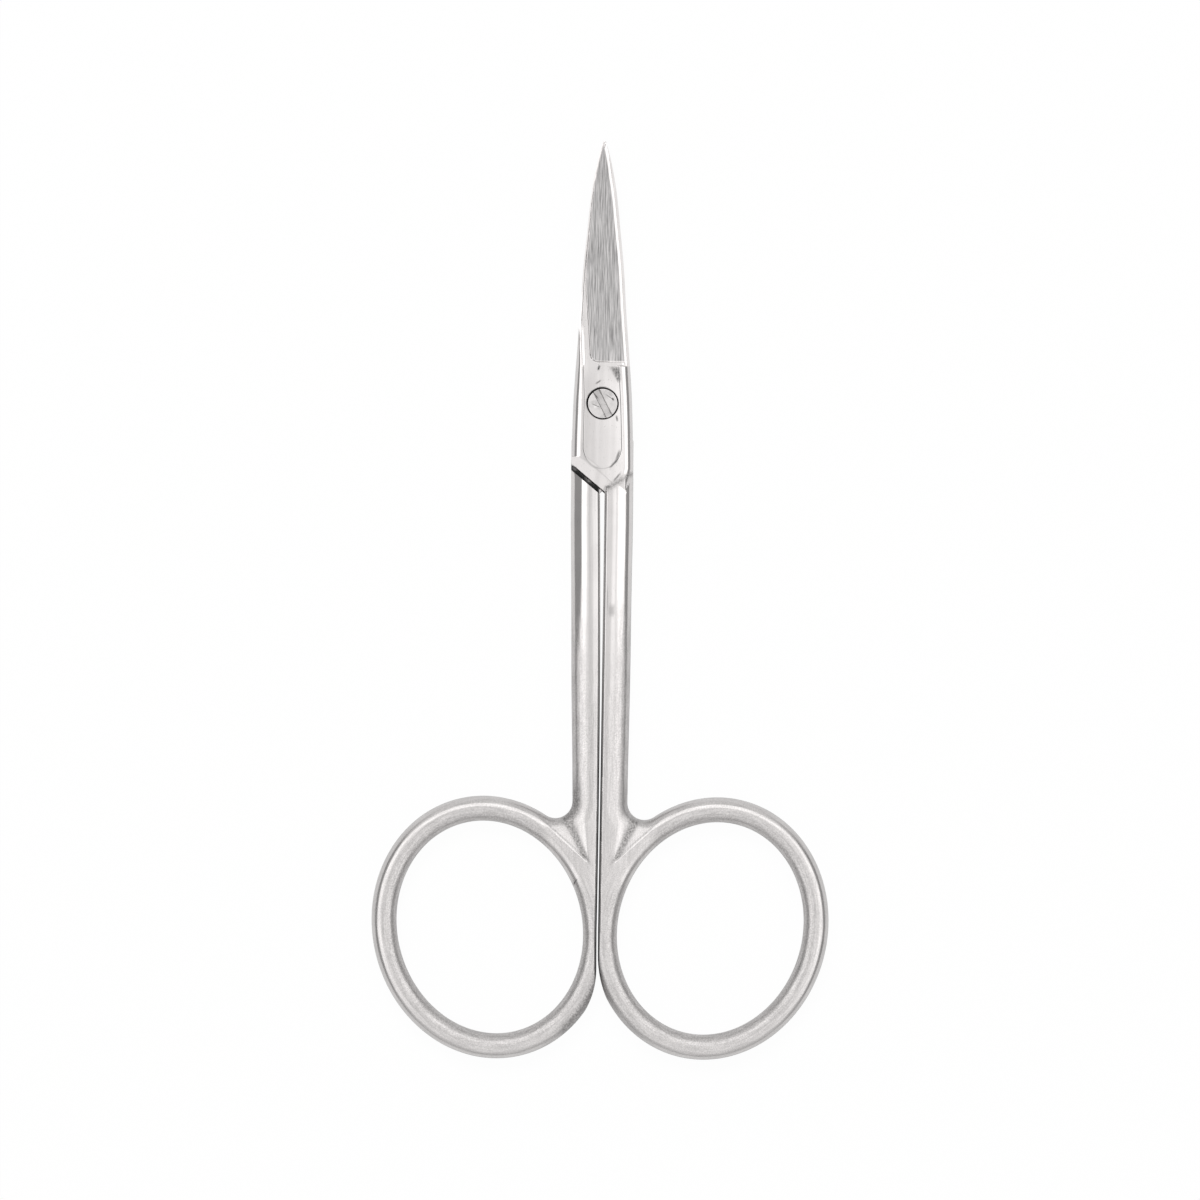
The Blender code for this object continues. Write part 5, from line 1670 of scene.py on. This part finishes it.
def turned_screw(material):
    """The slotted screw as a plain mesh, from the tree on its profile."""
    profile = screw_profile()
    mesh = bpy.data.meshes.new("screw_profile")
    links = [(i, i + 1) for i in range(len(profile) - 1)]
    mesh.from_pydata([(radius * MM, 0.0, height * MM) for radius, height in profile], links, [])
    guide = bpy.data.objects.new("screw_profile", mesh)
    bpy.context.scene.collection.objects.link(guide)
    turned = guide.modifiers.new("turned_screw", "NODES")
    turned.node_group = turned_screw_tree()
    sizes = {
        "Profile Points": len(profile),
        "Turn Steps": SCREW_TURN_STEPS,
        "Slot Width": SLOT_WIDTH * MM,
        "Slot Floor": (LAP_HALF - SLOT_DEPTH) * MM,
        "Slot Turn": SLOT_TURN,
        "Slot Bank": SLOT_BANK * MM,
        "Material": material,
    }
    for socket in turned.node_group.interface.items_tree:
        if socket.in_out == "INPUT" and socket.name in sizes:
            turned[socket.identifier] = sizes[socket.name]
    bpy.context.view_layer.update()
    graph = bpy.context.evaluated_depsgraph_get()
    made = bpy.data.meshes.new_from_object(guide.evaluated_get(graph))
    bpy.data.objects.remove(guide, do_unlink=True)
    made.name = "slotted_pivot_screw"
    return made


def dent(mesh):
    """Presses the handling dents into the screw's head, lifts the screw to its place and cleans the mesh."""
    bm = bmesh.new()
    bm.from_mesh(mesh)
    bmesh.ops.remove_doubles(bm, verts=bm.verts, dist=WELD / 10)
    for vertex in bm.verts:
        x, y, z = (value / MM for value in vertex.co)
        if z > LAP_HALF - SLOT_DEPTH - CLOSE:
            for dent_x, dent_y, size, depth in SCREW_DENTS:
                reach = ((x - dent_x) ** 2 + (y - dent_y) ** 2) / size ** 2
                vertex.co.z -= depth * math.exp(-reach) * MM
        vertex.co.z += LAP_HALF * MM
    bmesh.ops.dissolve_degenerate(bm, edges=bm.edges, dist=WELD / 100)
    bmesh.ops.triangulate(bm, faces=bm.faces)
    bmesh.ops.recalc_face_normals(bm, faces=bm.faces)
    bm.to_mesh(mesh)
    bm.free()


def make_screw(material):
    """The pivot screw, with painted shade along and in its slot and its marks kept as an attribute."""
    mesh = turned_screw(material)
    dent(mesh)
    x, y, z = (np.array([vertex.co for vertex in mesh.vertices]) / MM).T
    across = np.abs(x * math.cos(SLOT_TURN) + y * math.sin(SLOT_TURN))
    # Painted shade along the slot's edges and on its floor, with the screw's dark marks
    slot_line = SLOT_LINE_SHADE * bump_at(across, SLOT_WIDTH / 2, SLOT_LINE)
    shade = SLOT_SHADE * (across < SLOT_WIDTH / 2)
    on_head = z > 2 * LAP_HALF - SLOT_DEPTH - SCREW_RIM
    on_head &= np.hypot(x, y) < SCREW_HEAD_RADIUS - SCREW_RIM * SCREW_CORNER_SHARE
    dirt_and_shade = np.maximum.reduce((slot_line, shade, dark_marks(x, y, SCREW_MARKS))) * on_head
    layer = mesh.attributes.new("painted_shade_and_marks", "FLOAT", "POINT")
    layer.data.foreach_set("value", dirt_and_shade)
    mesh.shade_smooth()
    mesh.set_sharp_from_angle(angle=SCREW_SHARP_ANGLE)
    screw = bpy.data.objects.new("slotted_pivot_screw", mesh)
    bpy.context.scene.collection.objects.link(screw)
    return screw


def screw_steel(marks):
    """The screw: filed flat across its head in one direction, with painted shade in the slot."""
    material, tree, shader = new_material("filed_screw_steel")
    place = add(tree, "ShaderNodeTexCoord").outputs["Object"]
    filed = add(tree, "ShaderNodeMapping", None, Vector=place, Rotation=FILED_TURN, Scale=FILED_SCALE)
    lines = noise(tree, filed.outputs[0], 1.0, 3.0)
    marked = placed_group(tree, marks, place, SCREW_HANDLING)
    colour = blend_colour(tree, marked["Smudges"], SCREW_BRIGHT, SCREW_SMUDGED)
    colour = blend_colour(tree, maths(tree, "MULTIPLY", marked["Pits"], 0.5), colour, SCREW_PITTED)
    painted_shade_and_marks = add(tree, "ShaderNodeAttribute", {"attribute_name": "painted_shade_and_marks"}).outputs["Fac"]
    # Painted shade along and in the slot, and dark marks, in the darkest colour
    colour = blend_colour(tree, painted_shade_and_marks, colour, SCREW_SHADE_AND_MARKS)
    tree.links.new(colour, shader.inputs["Base Color"])
    rough = maths(tree, "MULTIPLY_ADD", lines, 0.14, 0.24)
    rough = maths(tree, "MULTIPLY_ADD", marked["Smudges"], 0.08, rough)
    tree.links.new(rough, shader.inputs["Roughness"])
    shader.inputs["Metallic"].default_value = 1.0
    height = maths(tree, "MULTIPLY_ADD", marked["Pits"], -1.5, lines)
    bump = add(tree, "ShaderNodeBump", None, Height=height, Strength=1.0, Distance=SCREW_RELIEF)
    tree.links.new(bump.outputs["Normal"], shader.inputs["Normal"])
    return material


def make_floor():
    """A white table top; it shows as plain white, and keeps a little of the object's shadow."""
    mesh = bpy.data.meshes.new("table")
    half = FLOOR_SIZE / 2
    corners = [(x * half, y * half, FLOOR_LEVEL) for x, y in ((-1, -1), (1, -1), (1, 1), (-1, 1))]
    mesh.from_pydata(corners, [], [(0, 1, 2, 3)])
    floor = bpy.data.objects.new("table", mesh)
    bpy.context.scene.collection.objects.link(floor)
    material, tree, shader = new_material("white_table")
    shader.inputs["Base Color"].default_value = (FLOOR_GREY, FLOOR_GREY, FLOOR_GREY, 1.0)
    shader.inputs["Roughness"].default_value = FLOOR_ROUGHNESS
    path = add(tree, "ShaderNodeLightPath").outputs
    mirrored = maths(tree, "MAXIMUM", path["Is Glossy Ray"], path["Is Transmission Ray"])
    level = blend_value(tree, path["Is Camera Ray"], FLOOR_MIRRORED_LEVEL, 1.0)
    white = add(tree, "ShaderNodeEmission", None, Color=(1.0, 1.0, 1.0, 1.0), Strength=level)
    share = maths(tree, "MULTIPLY", mirrored, FLOOR_MIRRORED_SHARE)
    share = maths(tree, "MAXIMUM", share, maths(tree, "MULTIPLY", path["Is Camera Ray"], FLOOR_SEEN_SHARE))
    mixed = add(tree, "ShaderNodeMixShader", None, at0=share, at1=shader.outputs[0], at2=white.outputs[0])
    tree.links.new(mixed.outputs[0], tree.nodes["Material Output"].inputs["Surface"])
    mesh.materials.append(material)


def curve_through(tree, value, points):
    """A float curve through (place, level) pairs, both from 0 to 1."""
    node = add(tree, "ShaderNodeFloatCurve", None, Value=value)
    line = node.mapping.curves[0]
    line.points[0].location = points[0]
    line.points[-1].location = points[-1]
    for place in points[1:-1]:
        line.points.new(*place)
    for point in line.points:
        point.handle_type = "AUTO_CLAMPED"
    node.mapping.update()
    return node.outputs[0]


def make_studio():
    """A pale tent: brighter panels low on three sides, a darker room behind the handles."""
    world = bpy.data.worlds.new("studio")
    bpy.context.scene.world = world
    world.use_nodes = True
    tree = world.node_tree
    backdrop = tree.nodes["Background"]
    looking = add(tree, "ShaderNodeTexCoord").outputs["Generated"]
    way = add(tree, "ShaderNodeSeparateXYZ", None, Vector=looking).outputs
    up = maths(tree, "ARCSINE", maths(tree, "MAXIMUM", way["Z"], 0.0))
    up = maths(tree, "DIVIDE", up, math.pi / 2)
    side = curve_through(tree, up, SIDE_LEVELS)
    far = curve_through(tree, up, FAR_LEVELS)
    near = curve_through(tree, up, NEAR_LEVELS)
    flat = add(tree, "ShaderNodeCombineXYZ", None, X=way["X"], Y=way["Y"]).outputs[0]
    reach = add(tree, "ShaderNodeVectorMath", {"operation": "LENGTH"}, at0=flat).outputs["Value"]
    heading = maths(tree, "DIVIDE", way["Y"], maths(tree, "MAXIMUM", reach, 0.001))
    level = blend_value(tree, ramp(tree, heading, *FAR_SIDE), side, far)
    level = blend_value(tree, ramp(tree, heading, *NEAR_SIDE), level, near)
    swing = ramp(tree, way["X"], -OVERHEAD_REACH, OVERHEAD_REACH, -OVERHEAD_SWING, OVERHEAD_SWING)
    level = maths(tree, "MULTIPLY_ADD", swing, ramp(tree, up, *OVERHEAD_FROM), level)
    level = maths(tree, "MULTIPLY", level, STUDIO_PEAK)
    path = add(tree, "ShaderNodeLightPath").outputs
    level = blend_value(tree, path["Is Camera Ray"], level, 1.0)
    tree.links.new(level, backdrop.inputs["Strength"])
    backdrop.inputs["Color"].default_value = STUDIO_TINT


def make_key_lamp():
    """A soft lamp beyond the blades' tips; the steel doesn't mirror it."""
    light = bpy.data.lights.new("key_lamp", "AREA")
    light.shape = "RECTANGLE"
    light.size, light.size_y = KEY_LAMP["size"]
    light.energy = KEY_LAMP["power"]
    lamp = bpy.data.objects.new("key_lamp", light)
    bpy.context.scene.collection.objects.link(lamp)
    lamp.location = KEY_LAMP["place"]
    lamp.rotation_euler = (Vector(KEY_LAMP["aim"]) - lamp.location).to_track_quat("-Z", "Y").to_euler()
    lamp.visible_glossy = False


def make_camera():
    """Straight above the table, turned as the photographed piece lay."""
    lens = bpy.data.cameras.new("camera")
    lens.lens = LENS
    lens.sensor_width = SENSOR
    lens.clip_start = NEAREST_SEEN
    camera = bpy.data.objects.new("camera", lens)
    bpy.context.scene.collection.objects.link(camera)
    distance = PICTURE_PIXELS * PICTURE_SCALE * LENS / SENSOR
    camera.location = (VIEW_CENTRE[0] * MM, VIEW_CENTRE[1] * MM, (LAP_HALF + distance) * MM)
    camera.rotation_euler = (0.0, 0.0, VIEW_ROLL)
    bpy.context.scene.camera = camera
    bpy.context.scene.view_settings.view_transform = "Standard"


def dress(piece, node, body):
    """The finished piece stands in for its plain solid and rides on its body."""
    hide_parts(node)
    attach(piece, body)


def main():
    make_camera()
    make_studio()
    make_key_lamp()
    make_floor()
    grain = lengthwise_grain()
    marks = handling_marks()
    front_forging = {**FRONT_FORGING, **crotch_place(FRONT_FORGING["ring_offset"])}
    back_forging = {**BACK_FORGING, **crotch_place(BACK_FORGING["ring_offset"])}
    front = make_half("front_forging", front_forging, False)
    front.data.materials.append(steel("front_half_steel", grain, marks, FRONT_FINISH))
    dress(front, "front_blade_half", "front_half")
    back = make_half("back_forging", back_forging, True)
    back.data.materials.append(steel("back_half_steel", grain, marks, BACK_FINISH))
    dress(back, "back_blade_half", "back_half")
    screw = make_screw(screw_steel(marks))
    dress(screw, "pivot_screw", "back_half")


main()
